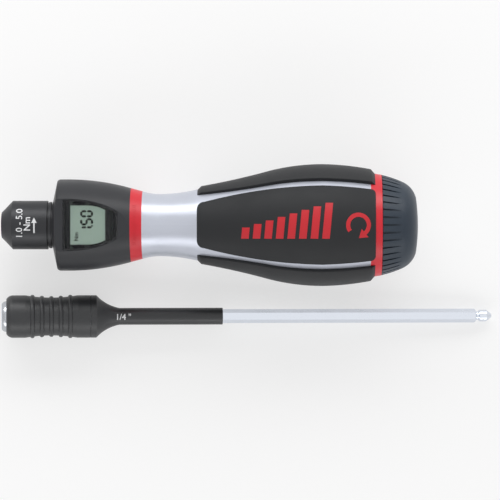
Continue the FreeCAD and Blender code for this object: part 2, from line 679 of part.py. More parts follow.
def make_neck_bush():
    """Bronze bush inside the clutch tube's narrow end."""
    body = new_body("neck_bush")
    neck_bush_end = "neck_bush_start + neck_bush_length"
    turn(body, [
        ("neck_bush_start", "spindle_bore"), ("neck_bush_start", "tube_front_bore"),
        (neck_bush_end, "tube_front_bore"), (neck_bush_end, "spindle_bore"),
    ])
    lay(body, HANDLE)


def make_clutch_tube():
    """Steel tube that head, body and bushes are built on, with slots for the sliding lugs."""
    body = new_body("clutch_tube")
    turn(body, [
        ("bush_end", "tube_front_bore"), ("bush_end", "tube_front_radius"),
        ("tube_step", "tube_front_radius"), ("tube_step", "tube_radius"),
        ("flange_start", "tube_radius"), ("flange_start", "tube_bore"),
        ("tube_bore_start", "tube_bore"), ("tube_bore_start", "tube_front_bore"),
    ])
    slots = [
        ("thrust_start - slot_clearance", "thrust_end + thrust_travel + slot_clearance"),
        ("nut_start - nut_forward - slot_clearance", "nut_end + nut_back + slot_clearance"),
    ]
    for start, end in slots:
        slot = draw(new_sketch(body, "XZ_Plane"), [
            (start, "-1 * slot_half"), (end, "-1 * slot_half"), (end, "slot_half"), (start, "slot_half"),
        ])
        extrude(body, "Pocket", slot, "3 * tube_radius", symmetric=True)
    lay(body, HANDLE)


def make_rear_bush():
    """Bush that closes the clutch tube and carries the adjusting screw and the red rear ring."""
    body = new_body("rear_bush")
    turn(body, [
        ("rear_bush_start", "screw_bore"), ("rear_bush_start", "tube_bore"),
        ("flange_start", "tube_bore"), ("flange_start", "tube_radius"),
        ("body_end", "tube_radius"), ("body_end", "rear_spigot_radius"),
        ("ring_end", "rear_spigot_radius"), ("ring_end", "screw_bore"),
    ])
    lay(body, HANDLE)


# ---------------------------------------------------------------- slip clutch

def add_lugs(body, start, end):
    """Add a lug each side of a sliding piece, for the clutch tube's slots."""
    for side in ("", "-1 * "):
        lug = draw(new_sketch(body, "XY_Plane", "-1 * lug_width / 2"), [
            (start, f"{side}spring_coil"), (end, f"{side}spring_coil"),
            (end, f"{side}lug_reach"), (start, f"{side}lug_reach"),
        ])
        extrude(body, "Pad", lug, "lug_width")


def make_pressure_ring():
    """Ring that presses the clutch balls into the cam's notches and backs off as the clutch slips."""
    body = new_body("pressure_ring")
    turn(body, [
        ("thrust_start", "thrust_ring_bore"), ("thrust_start", "cam_radius"),
        ("thrust_end", "cam_radius"), ("thrust_end", "thrust_ring_bore"),
    ])
    add_lugs(body, "thrust_start", "thrust_end")
    pocket = add_ball(body, "Subtractive", "pocket_radius", "ball_place", "clutch_ball_circle")
    repeat_round(body, pocket, CLUTCH_BALLS)
    lay(body, HANDLE)
    for index in range(CLUTCH_BALLS):
        make_clutch_ball(index)


def make_clutch_ball(index):
    """One of the four clutch balls."""
    body = new_body(f"clutch_ball_{index + 1}")
    ball = body.newObject("PartDesign::AdditiveSphere", f"{body.Name}_ball")
    angle = f"({index} * {360 / CLUTCH_BALLS})"
    bind(
        ball, Radius="clutch_ball_radius", Placement__Base__x="ball_place",
        Placement__Base__y=f"clutch_ball_circle * sin{angle}",
        Placement__Base__z=f"clutch_ball_circle * cos{angle}")
    lay(body, HANDLE)


def make_torque_spring():
    """Coil spring between the pressure ring and the spring nut."""
    body = new_body("torque_spring")
    coil(
        body, "thrust_end + spring_wire + face_clearance", "spring_wire", "spring_coil", "spring_turns",
        "spring_length - 2 * (spring_wire + face_clearance)")
    lay(body, HANDLE)


def make_spring_nut():
    """Nut that loads the torque spring; its lugs keep it from turning."""
    body = new_body("spring_nut")
    turn(body, [
        ("nut_start", "screw_bore"), ("nut_start", "nut_radius"),
        ("nut_end", "nut_radius"), ("nut_end", "screw_bore"),
    ])
    add_lugs(body, "nut_start", "nut_end")
    pocket = draw_circle(new_sketch(body, "YZ_Plane", "nut_end - magnet_length"), "0", "spring_coil",
                         "magnet_radius")
    extrude(body, "Pocket", pocket, "magnet_length")
    lay(body, HANDLE)
    magnet = new_body("position_magnet")
    circle = draw_circle(new_sketch(magnet, "YZ_Plane", "nut_end - magnet_length"), "0", "spring_coil",
                         "magnet_radius")
    extrude(magnet, "Pad", circle, "magnet_length")
    lay(magnet, HANDLE)


def make_adjusting_screw():
    """Screw that the cap turns, with a collar that takes the spring's thrust."""
    body = new_body("adjusting_screw")
    turn(body, [
        ("screw_start", "0"), ("screw_start", "screw_radius"),
        ("collar_start", "screw_radius"), ("collar_start", "collar_radius"),
        ("washer_start - face_clearance", "collar_radius"),
        ("washer_start - face_clearance", "screw_radius"),
        ("screw_end", "screw_radius"), ("screw_end", "0"),
    ])
    lay(body, HANDLE)


def make_thrust_washer():
    """Washer between the screw's collar and the rear bush."""
    body = new_body("thrust_washer")
    turn(body, [
        ("washer_start", "screw_bore"), ("washer_start", "tube_bore"),
        ("rear_bush_start", "tube_bore"), ("rear_bush_start", "screw_bore"),
    ])
    lay(body, HANDLE)


# ---------------------------------------------------------------- display head

def head_form(body, depth="0", bore="0"):
    """Turn the head's barrel, without its front bore where bore is 0."""
    turn(body, [
        ("head_start", bore), ("head_start", "head_face_radius"),
        ("head_start + head_cone_length", "head_shoulder_radius"),
        ("head_round_end", "head_radius", "head_round_bend", LEFT),
        ("head_taper_start", "head_radius"),
        ("band_start", "head_end_radius", "head_bend", LEFT),
        ("band_start", bore),
    ])


def window_outline(sketch, inset):
    """Draw the window's outline, straight in front and behind, bowed along its sides."""
    front, rear = f"window_start + {inset}", f"window_end - {inset}"
    wide, narrow = f"window_front_half - {inset}", f"window_rear_half - {inset}"
    return draw(sketch, [
        (front, f"-1 * ({wide})"), (rear, f"-1 * ({narrow})", f"window_bend - {inset}", RIGHT),
        (rear, narrow), (front, wide, f"window_bend - {inset}", RIGHT),
    ])


def cover_outline(sketch, inset):
    """Draw the battery cover's outline, a rectangle with round corners."""
    front, rear, half = f"cover_start + {inset}", f"cover_end - {inset}", f"(cover_half_width - {inset})"
    corner = f"cover_corner - {inset}"
    return draw(sketch, [
        (f"{rear} - ({corner})", f"-1 * {half}"),
        (rear, f"{corner} - {half}", corner, RIGHT), (rear, f"{half} - ({corner})"),
        (f"{rear} - ({corner})", half, corner, RIGHT), (f"{front} + {corner}", half),
        (front, f"{half} - ({corner})", corner, RIGHT), (front, f"{corner} - {half}"),
        (f"{front} + {corner}", f"-1 * {half}", corner, RIGHT),
    ])


def make_head_housing():
    """Black barrel with the display facet on top and the battery pocket underneath."""
    body = new_body("head_housing")
    head_form(body, bore="tube_front_radius")
    facet = draw(new_sketch(body, "XY_Plane", "facet_height"), [
        ("head_start", "-1 * head_radius"), ("band_start", "-1 * head_radius"),
        ("band_start", "head_radius"), ("head_start", "head_radius"),
    ])
    extrude(body, "Pocket", facet, "head_radius")
    seat = window_outline(new_sketch(body, "XY_Plane", "window_seat"), "0")
    extrude(body, "Pocket", seat, "head_radius")
    well = window_outline(new_sketch(body, "XY_Plane", "board_seat"), "window_lip")
    extrude(body, "Pocket", well, "head_radius")
    hatch = cover_outline(new_sketch(body, "XY_Plane", "-1 * cover_depth"), "0")
    extrude(body, "Pocket", hatch, "head_radius", backwards=True)
    cell = draw_circle(
        new_sketch(body, "XY_Plane", "-1 * contact_floor"), "cell_place", "0", "cell_pocket_radius")
    extrude(body, "Pocket", cell, "cover_depth", backwards=True)
    screw_hole = draw_circle(
        new_sketch(body, "XY_Plane", "-1 * (screw_seat_depth - screw_length)"),
        "screw_place", "0", "screw_shank_radius")
    extrude(body, "Pocket", screw_hole, "head_radius", backwards=True)
    lay(body, HANDLE)


def make_display():
    """Window, printed mask, display glass and circuit board, stacked face to face."""
    window = new_body("display_window")
    outline = window_outline(new_sketch(window, "XY_Plane", "window_seat"), "window_clearance")
    extrude(window, "Pad", outline, "window_thickness")
    lay(window, HANDLE)

    mask = new_body("display_mask")
    inset = "(window_lip + window_clearance)"
    outline = window_outline(new_sketch(mask, "XY_Plane", "mask_seat"), inset)
    extrude(mask, "Pad", outline, "mask_thickness")
    view = draw(new_sketch(mask, "XY_Plane", "mask_seat"), [
        ("view_start", "-1 * view_front_half"), ("view_bend_start", "-1 * view_front_half"),
        ("view_end", "-1 * view_rear_half", "view_bend", RIGHT), ("view_end", "view_rear_half"),
        ("view_bend_start", "view_front_half", "view_bend", RIGHT), ("view_start", "view_front_half"),
    ])
    extrude(mask, "Pocket", view, "mask_thickness")
    lay(mask, HANDLE)

    for name, seat, thickness in (
            ("lcd_panel", "lcd_seat", "lcd_thickness"), ("circuit_board", "board_seat", "board_thickness")):
        plate = new_body(name)
        outline = window_outline(new_sketch(plate, "XY_Plane", seat), inset)
        extrude(plate, "Pad", outline, thickness)
        lay(plate, HANDLE)


def make_battery():
    """Coin cell, its contact leaf, the flush cover under the head and the cover's screw."""
    cell = new_body("coin_cell")
    circle = draw_circle(new_sketch(cell, "XY_Plane", "-1 * cover_depth"), "cell_place", "0", "cell_radius")
    extrude(cell, "Pad", circle, "cell_height")
    lay(cell, HANDLE)

    contact = new_body("battery_contact")
    along, half = "contact_length / 2", "contact_width / 2"
    leaf = draw(new_sketch(contact, "XY_Plane", "-1 * cell_floor"), [
        (f"cell_place - {along}", f"-{half}"), (f"cell_place + {along}", f"-{half}"),
        (f"cell_place + {along}", half), (f"cell_place - {along}", half),
    ])
    extrude(contact, "Pad", leaf, "contact_thickness")
    lay(contact, HANDLE)

    barrel = new_body("cover_barrel")
    head_form(barrel)
    prism = new_body("cover_prism")
    outline = cover_outline(new_sketch(prism, "XY_Plane", "-1 * cover_depth"), "cover_clearance")
    extrude(prism, "Pad", outline, "head_radius", backwards=True)
    for radius, depth in (
            ("screw_shank_radius + pocket_clearance", "cover_depth"),
            ("screw_head_radius + pocket_clearance", "screw_seat_depth")):
        hole = draw_circle(new_sketch(prism, "XY_Plane", f"-1 * {depth}"), "screw_place", "0", radius)
        extrude(prism, "Pocket", hole, "2 * head_radius", backwards=True)
    lay(combine("battery_cover", "Common", barrel, prism), HANDLE)

    screw = new_body("cover_screw")
    shank = draw_circle(
        new_sketch(screw, "XY_Plane", "-1 * screw_seat_depth"), "screw_place", "0", "screw_shank_radius")
    extrude(screw, "Pad", shank, "screw_length")
    head = draw_circle(
        new_sketch(screw, "XY_Plane", "-1 * screw_seat_depth"), "screw_place", "0", "screw_head_radius")
    extrude(screw, "Pad", head, "screw_head_height", backwards=True)
    reach, half = "0.7 * screw_head_radius", "screw_slot_width / 2"
    for along, across in ((reach, half), (half, reach)):
        slot = draw(
            new_sketch(screw, "XY_Plane", "-1 * (screw_seat_depth + screw_head_height - screw_slot_depth)"), [
                (f"screw_place - {along}", f"-1 * {across}"), (f"screw_place + {along}", f"-1 * {across}"),
                (f"screw_place + {along}", across), (f"screw_place - {along}", across),
            ])
        extrude(screw, "Pocket", slot, "screw_slot_depth", backwards=True)
    lay(screw, HANDLE)


def make_front_band():
    """Red band between head and body."""
    body = new_body("front_band")
    turn(body, [
        ("band_start", "tube_front_radius"), ("band_start", "head_end_radius"),
        ("body_start", "band_rear_radius"), ("body_start", "tube_front_radius"),
    ])
    lay(body, HANDLE)


# ---------------------------------------------------------------- handle body, pads, ring and cap

def grip_curve(offset):
    """Give the body's curve from the flank to its end, raised or sunk by an offset."""
    return [
        ("flank_end", f"flank_radius + {offset}", f"flank_bend - ({offset})", RIGHT),
        ("belly_place", f"belly_radius + {offset}", f"belly_bend + {offset}", LEFT),
        ("body_end", f"tail_radius + {offset}", f"tail_bend + {offset}", LEFT),
    ]


def grip_form(name, offset, front_radius):
    """Turn a solid whose skin lies an offset above the body."""
    body = new_body(name)
    turn(body, [("flank_start", "0"), ("flank_start", front_radius), *grip_curve(offset), ("body_end", "0")])
    return body


def make_pad_spaces():
    """Make the four spaces that the pads fill, let into the body's skin."""
    bed = new_body("pad_bed")
    reach = "2 * belly_radius"
    turn(bed, [
        ("pad_start", reach), ("body_end", reach), ("body_end", "0"), ("pad_start", "0"),
    ])
    core = grip_form("pad_core", "-1 * pad_depth", "shoulder_radius - pad_depth")
    layer = combine("pad_layer", "Cut", bed, core)
    spaces = {}
    for name, side in (("left", "1"), ("right", "-1")):
        wedge = new_body(f"{name}_wedge")
        sections = []
        for place, angle in (
                ("flank_start", "side_angle_front"), ("belly_place", "side_angle_middle"),
                ("body_end", "side_angle_rear")):
            across, up = f"{side} * {reach} * sin({angle})", f"{reach} * cos({angle})"
            sections.append(draw(new_sketch(wedge, "YZ_Plane", place), [
                ("0", "0"), (across, f"-1 * {up}"), (across, up)]))
        loft = wedge.newObject("PartDesign::AdditiveLoft", f"{name}_loft")
        loft.Profile = sections[0]
        loft.Sections = sections[1:]
        spaces[name] = combine(f"{name}_space", "Common", layer, wedge)
    for name, downwards in (("display", False), ("back", True)):
        prism = new_body(f"{name}_prism")
        extrude(prism, "Pad", panel_outline(new_sketch(prism, "XY_Plane")), reach, backwards=downwards)
        spaces[name] = combine(f"{name}_space", "Common", layer, prism)
    return spaces


def panel_outline(sketch):
    """Draw the outline of the display and back pads, with round corners."""
    front, rear = "panel_front_corner", "panel_rear_corner"
    half_front, half_rear = f"(panel_front_half - {front})", f"(panel_rear_half - {rear})"
    return draw(sketch, [
        ("pad_start", f"-1 * {half_front}"),
        (f"pad_start + {front}", "-1 * panel_front_half", front, RIGHT),
        ("belly_place", "-1 * panel_belly_half", "panel_flank_bend", RIGHT),
        (f"body_end - {rear}", "-1 * panel_rear_half", "panel_tail_bend", RIGHT),
        ("body_end", f"-1 * {half_rear}", rear, RIGHT),
        ("body_end", half_rear),
        (f"body_end - {rear}", "panel_rear_half", rear, RIGHT),
        ("belly_place", "panel_belly_half", "panel_tail_bend", RIGHT),
        (f"pad_start + {front}", "panel_front_half", "panel_flank_bend", RIGHT),
        ("pad_start", half_front, front, RIGHT),
    ])


def make_grip():
    """Silver body with its four pads, and the red ring whose lap fills the silver lines' ends."""
    spaces = make_pad_spaces()
    cut_out = fuse_all("pad_spaces", list(spaces.values()))

    flush = grip_form("flush_form", "flush_raise", "shoulder_radius + flush_raise")
    for name in ("display", "back"):
        lay(combine(f"{name}_pad", "Common", flush, spaces[name]), HANDLE)

    raised = new_body("raised_form")
    bend = grip_curve("side_raise")
    bevel = "body_end - side_rear_bevel"
    turn(raised, [
        ("pad_start", "0"), ("pad_start", "shoulder_radius"),
        ("pad_start + side_front_bevel", "shoulder_radius + side_front_raise"),
        *bend[:2], (bevel, "tail_radius + side_rear_raise", "tail_bend + side_raise", LEFT),
        ("body_end", "tail_radius"), ("body_end", "0"),
    ])
    for name in ("left", "right"):
        lay(combine(f"{name}_pad", "Common", raised, spaces[name]), HANDLE)

    silver = new_body("silver_form")
    turn(silver, [
        ("body_start", "tube_front_radius"), ("body_start", "band_rear_radius"),
        ("waist_place", "waist_radius", "waist_front_bend", RIGHT),
        ("flank_start", "shoulder_radius", "waist_rear_bend", RIGHT),
        *grip_curve("0")[:2], ("body_end", "tail_radius", "tail_bend", LEFT),
        ("body_end", "tube_radius"), ("tube_step", "tube_radius"), ("tube_step", "tube_front_radius"),
    ])
    lap_band = new_body("lap_band")
    turn(lap_band, [
        ("lap_start", "0"), ("lap_start", "2 * belly_radius"),
        ("body_end", "2 * belly_radius"), ("body_end", "0"),
    ])
    core = DOCUMENT.getObject("pad_core")
    lap_space = combine("lap_space", "Cut", lap_band, core)
    body_cut = fuse_all("body_cut", [cut_out, lap_space])
    lay(combine("handle_body", "Cut", silver, body_cut), HANDLE)

    plain_ring = new_body("plain_ring")
    turn(plain_ring, [
        ("body_end", "rear_spigot_radius"), ("body_end", "tail_radius"),
        ("ring_end", "ring_rear_radius"), ("ring_end", "rear_spigot_radius"),
    ])
    lap_skin = combine("lap_skin", "Common", grip_form("skin_form", "0", "shoulder_radius"), lap_space)
    lap = combine("lap", "Cut", lap_skin, cut_out)
    lay(fuse_all("rear_ring", [plain_ring, lap]), HANDLE)


def make_adjusting_cap():
    """Slate cap that sets the torque, hollow round its hub, with grip grooves."""
    body = new_body("adjusting_cap")
    inner = "cap_front_radius - cap_wall"
    floor = "cap_taper_end"
    turn(body, [
        ("cap_start", inner), ("cap_start", "cap_front_radius"),
        ("cap_taper_end", "cap_taper_radius", "cap_taper_bend", LEFT),
        ("cap_round_end", "cap_round_radius", "cap_round_bend", LEFT),
        ("cap_end", "0", "cap_dome_bend", LEFT),
        ("screw_end", "0"), ("screw_end", "screw_radius"), ("cap_start", "screw_radius"),
        ("cap_start", "cap_hub_radius"), (floor, "cap_hub_radius"),
        (floor, "cap_taper_radius - cap_wall"),
    ])
    groove_end = "cap_start + groove_length"
    groove = draw(new_sketch(body, "XZ_Plane"), [
        ("cap_start", "cap_front_radius - groove_depth"),
        (groove_end, "cap_taper_radius - groove_depth / 2"), (groove_end, "cap_front_radius + groove_depth"),
        ("cap_start", "cap_front_radius + groove_depth"),
    ])
    cut = extrude(body, "Pocket", groove, "groove_width", symmetric=True)
    repeat_round(body, cut, "groove_count")
    lay(body, HANDLE)


# ---------------------------------------------------------------- blade

def make_bit_socket():
    """Steel socket for hexagon bits, with the shank fixed in its back."""
    body = new_body("bit_socket")
    turn(body, [
        ("0", "bit_lead_radius"), ("0", "socket_face_radius"),
        ("sleeve_offset", "socket_radius", "socket_bend", LEFT),
        ("socket_collar_length", "socket_radius"), ("socket_collar_length", "socket_core_radius"),
        ("snap_ring_offset", "socket_core_radius"), ("snap_ring_offset", "snap_groove_radius"),
        ("snap_ring_end", "snap_groove_radius"), ("snap_ring_end", "socket_core_radius"),
        ("socket_length", "socket_core_radius"), ("socket_length", "0"),
        ("bit_lead_length", "0"), ("bit_lead_length", "bit_lead_radius"),
    ])
    bit = draw_hexagon(new_sketch(body, "YZ_Plane", "bit_lead_length"), "bit_socket_half")
    extrude(body, "Pocket", bit, "bit_depth - bit_lead_length")
    magnet = draw_circle(new_sketch(body, "YZ_Plane", "bit_depth"), "0", "0", "bit_magnet_radius")
    extrude(body, "Pocket", magnet, "bit_magnet_length")
    shank = draw_hexagon(new_sketch(body, "YZ_Plane", "shank_offset"), "blade_hex / 2")
    extrude(body, "Pocket", shank, "socket_length - shank_offset")
    ball_hole = draw_circle(
        new_sketch(body, "XY_Plane"), "lock_ball_offset", "0", "lock_ball_radius + pocket_clearance")
    extrude(body, "Pocket", ball_hole, "2 * socket_radius")
    lay(body, BLADE)


def make_socket_fittings():
    """Magnet behind the bit, lock ball and snap ring."""
    magnet = new_body("bit_magnet")
    circle = draw_circle(new_sketch(magnet, "YZ_Plane", "bit_depth"), "0", "0", "bit_magnet_radius")
    extrude(magnet, "Pad", circle, "bit_magnet_length")
    lay(magnet, BLADE)
    ball = new_body("lock_ball")
    add_ball(ball, "Additive", "lock_ball_radius", "lock_ball_offset", "lock_ball_height")
    lay(ball, BLADE)
    ring = new_body("snap_ring")
    turn(ring, [
        ("snap_ring_offset", "snap_groove_radius"), ("snap_ring_offset", "snap_ring_radius"),
        ("snap_ring_end", "snap_ring_radius"), ("snap_ring_end", "snap_groove_radius"),
    ])
    lay(ring, BLADE)


def make_release_sleeve():
    """Black ribbed sleeve that slides towards the bit to free it."""
    body = new_body("release_sleeve")
    ribs = []
    for index in range(int(number("rib_count"))):
        place = f"sleeve_middle + ({index} - (rib_count - 1) / 2) * rib_pitch"
        for foot, bend in ((f"{place} - rib_half_width", None), (f"{place} + rib_half_width", "rib_bend")):
            height = (
                "sleeve_waist_radius + (sleeve_radius - sleeve_waist_radius)"
                f" * (({foot} - sleeve_middle) * 2 / sleeve_hollow_length) ^ 2")
            ribs.append((foot, height) if bend is None else (foot, height, bend, LEFT))
    turn(body, [
        ("sleeve_offset", "socket_radius + sleeve_play"), ("sleeve_offset", "sleeve_nose_radius"),
        ("sleeve_offset + sleeve_nose_length", "sleeve_radius", "sleeve_nose_bend", LEFT),
        ("sleeve_hollow_start", "sleeve_radius"), *ribs, ("sleeve_hollow_end", "sleeve_radius"),
        ("sleeve_end", "sleeve_radius"), ("sleeve_end", "socket_core_radius + sleeve_play"),
        ("chamber_end", "socket_core_radius + sleeve_play"), ("chamber_end", "sleeve_chamber_radius"),
        ("chamber_start", "sleeve_chamber_radius"), ("chamber_start", "socket_radius + sleeve_play"),
    ])
    lay(body, BLADE)
    spring = new_body("sleeve_spring")
    coil(
        spring, "snap_ring_end + sleeve_wire + face_clearance", "sleeve_wire", "sleeve_coil",
        "sleeve_spring_turns", "chamber_end - snap_ring_end - 2 * (sleeve_wire + face_clearance)")
    lay(spring, BLADE)


def make_shank_sheath():
    """Black holder body: flange, hollow flare and the tube round the shank."""
    body = new_body("shank_sheath")
    turn(body, [
        ("socket_length", "0"), ("socket_length", "flange_radius"),
        ("sheath_flange_end", "flange_radius"),
        ("flare_end", "sheath_radius", "flare_bend", RIGHT),
        ("sheath_end", "sheath_radius"), ("sheath_end", "0"),
    ])
    shank = draw_hexagon(new_sketch(body, "YZ_Plane", "socket_length"), "blade_hex / 2")
    extrude(body, "Pocket", shank, "sheath_end - socket_length")
    lay(body, BLADE)


def make_blade_shank():
    """Steel hexagon shank with the detent groove and round nose that the chuck takes."""
    body = new_body("blade_shank")
    hexagon = draw_hexagon(new_sketch(body, "YZ_Plane", "shank_offset"), "blade_hex / 2")
    extrude(body, "Pad", hexagon, "blade_end - shank_offset")
    corner = "blade_hex / sqrt(3)"
    turn(body, [
        ("shank_end", "blade_hex"), ("shank_end", corner),
        ("shank_end + shank_chamfer", "tip_radius"), ("detent_groove_start", "detent_groove_radius"),
        ("detent_groove_end", "detent_groove_radius"), ("tip_start", "tip_radius"),
        ("tip_cone_start", "tip_radius"), ("blade_end", "tip_face_radius"),
        ("blade_end", "blade_hex"),
    ], kind="Groove")
    lay(body, BLADE)


def check():
    """Stop if an object failed or a piece isn't one sound solid."""
    for thing in DOCUMENT.Objects:
        if {"Invalid", "Error"} & set(thing.State):
            raise RuntimeError(f"{thing.Label} failed: {thing.State}")
    for node in NODES:
        shape = node.Shape
        if shape.isNull() or not shape.isValid() or shape.Volume <= 0:
            raise RuntimeError(f"{node.Label} is not a sound solid")


def main():
    """Build every piece, check it and write its STEP file."""
    fill_sheet()
    make_chuck_nose()
    make_drive_spindle()
    make_detent()
    make_clutch_cam()
    make_cross_pin()
    make_neck_ring()
    make_front_bush()
    make_neck_bush()
    make_clutch_tube()
    make_rear_bush()
    make_pressure_ring()
    make_torque_spring()
    make_spring_nut()
    make_adjusting_screw()
    make_thrust_washer()
    make_head_housing()
    make_display()
    make_battery()
    make_front_band()
    make_grip()
    make_adjusting_cap()
    make_bit_socket()
    make_socket_fittings()
    make_release_sleeve()
    make_shank_sheath()
    make_blade_shank()
    DOCUMENT.recompute()
    check()
    os.makedirs("parts", exist_ok=True)
    for node in NODES:
        node.Shape.exportStep(f"parts/{node.Label}.step")
        box = node.Shape.BoundBox
        print(f"{node.Label:16} solids {len(node.Shape.Solids)}  volume {node.Shape.Volume:9.2f}"
              f"  x {box.XMin:7.2f} {box.XMax:7.2f}  y {box.YMin:7.2f} {box.YMax:7.2f}"
              f"  z {box.ZMin:6.2f} {box.ZMax:6.2f}")


main()
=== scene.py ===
"""Dresses the adjustable torque screwdriver and its blade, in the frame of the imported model."""
import json
import logging
import math
from dataclasses import dataclass
from enum import Enum
from typing import Sequence

import bmesh
import bpy
from mathutils import Matrix, Vector
from mathutils.bvhtree import BVHTree


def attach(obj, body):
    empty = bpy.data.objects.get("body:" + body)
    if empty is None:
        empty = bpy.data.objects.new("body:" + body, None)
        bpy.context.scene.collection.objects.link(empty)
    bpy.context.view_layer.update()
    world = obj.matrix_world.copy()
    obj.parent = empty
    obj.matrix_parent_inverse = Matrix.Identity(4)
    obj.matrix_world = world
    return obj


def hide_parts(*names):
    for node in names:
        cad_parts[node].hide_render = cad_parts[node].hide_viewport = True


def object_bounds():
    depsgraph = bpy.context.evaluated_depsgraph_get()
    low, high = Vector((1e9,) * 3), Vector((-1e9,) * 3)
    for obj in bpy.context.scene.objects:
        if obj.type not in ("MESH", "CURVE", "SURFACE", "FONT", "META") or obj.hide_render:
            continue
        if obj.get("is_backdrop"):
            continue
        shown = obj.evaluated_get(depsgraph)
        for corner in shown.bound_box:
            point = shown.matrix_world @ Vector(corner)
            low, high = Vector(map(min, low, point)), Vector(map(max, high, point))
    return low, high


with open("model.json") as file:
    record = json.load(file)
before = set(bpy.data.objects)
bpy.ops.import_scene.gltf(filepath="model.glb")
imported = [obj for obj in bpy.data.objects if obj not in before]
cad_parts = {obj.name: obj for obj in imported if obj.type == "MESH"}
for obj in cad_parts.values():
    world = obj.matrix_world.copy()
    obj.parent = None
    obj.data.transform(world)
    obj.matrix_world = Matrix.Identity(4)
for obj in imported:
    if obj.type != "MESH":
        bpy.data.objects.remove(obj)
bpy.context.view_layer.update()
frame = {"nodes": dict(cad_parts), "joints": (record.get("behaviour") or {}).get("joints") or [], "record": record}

MM = 0.001
LOG = logging.getLogger("torque_screwdriver")

Flat = tuple[float, float]

# Colour and roughness drift slowly, over this many grains of the surface.
DRIFT_GRAINS = 30
DRIFT_DETAIL = 3.0
# Nearly all values of the noise lie between these two.
DRIFT_LOW, DRIFT_HIGH = 0.3, 0.7
GRAIN_DETAIL = 2.0
GRAIN_ROUGHNESS = 0.6
# A tool mark's width as a share of its length.
MARK_WIDTH_SHARE = 0.02
SMOOTHEST = 0.02

# Sizes of the mesh work, in millimetres unless the name says degrees.
RAY_START = 60.0
FLAT_WELD = 1e-5
PIECE_WELD = 1e-4
PLACE_DIGITS = 6
SMOOTH_BELOW_DEG = 35.0
# Height of a capital letter of Blender's own face, as a share of the text's size.
CAPITAL_SHARE = 0.729
LETTER_CURVE_STEPS = 4


# ---------------------------------------------------------------- colours and nodes

def linear(hex_colour: str) -> tuple[float, float, float, float]:
    """Turn an sRGB hex colour into linear red, green, blue and alpha.

    Args:
        hex_colour: Six hex digits after a hash sign.

    Returns:
        The linear colour that a shader socket takes.
    """
    parts = [int(hex_colour[i:i + 2], 16) / 255 for i in (1, 3, 5)]
    curve = [c / 12.92 if c <= 0.04045 else ((c + 0.055) / 1.055) ** 2.4 for c in parts]
    return (curve[0], curve[1], curve[2], 1.0)


def add_node(tree: bpy.types.NodeTree, kind: str, settings: dict | None = None,
             links: dict | None = None) -> bpy.types.Node:
    """Add one shader node with its settings and its incoming links.

    Args:
        tree: The material's node tree.
        kind: Blender's name for the node's type.
        settings: Values by socket name or number, or by property name.
        links: Sockets of earlier nodes by the name or number of the socket that they feed.

    Returns:
        The new node.
    """
    node = tree.nodes.new(kind)
    for key, value in (settings or {}).items():
        if isinstance(key, str) and hasattr(node, key):
            setattr(node, key, value)
        else:
            node.inputs[key].default_value = value
    for key, source in (links or {}).items():
        tree.links.new(source, node.inputs[key])
    return node


class Texture(Enum):
    """How a surface was made, which says what its relief looks like."""

    NONE = "plain"
    ERODED = "fine eroded grain from the mould"
    MATT_RUBBER = "soft matt grain"
    TURNED = "turning marks round the axis"
    DRAWN = "drawing marks along the axis"
    FLAKES = "metal flakes in the plastic"


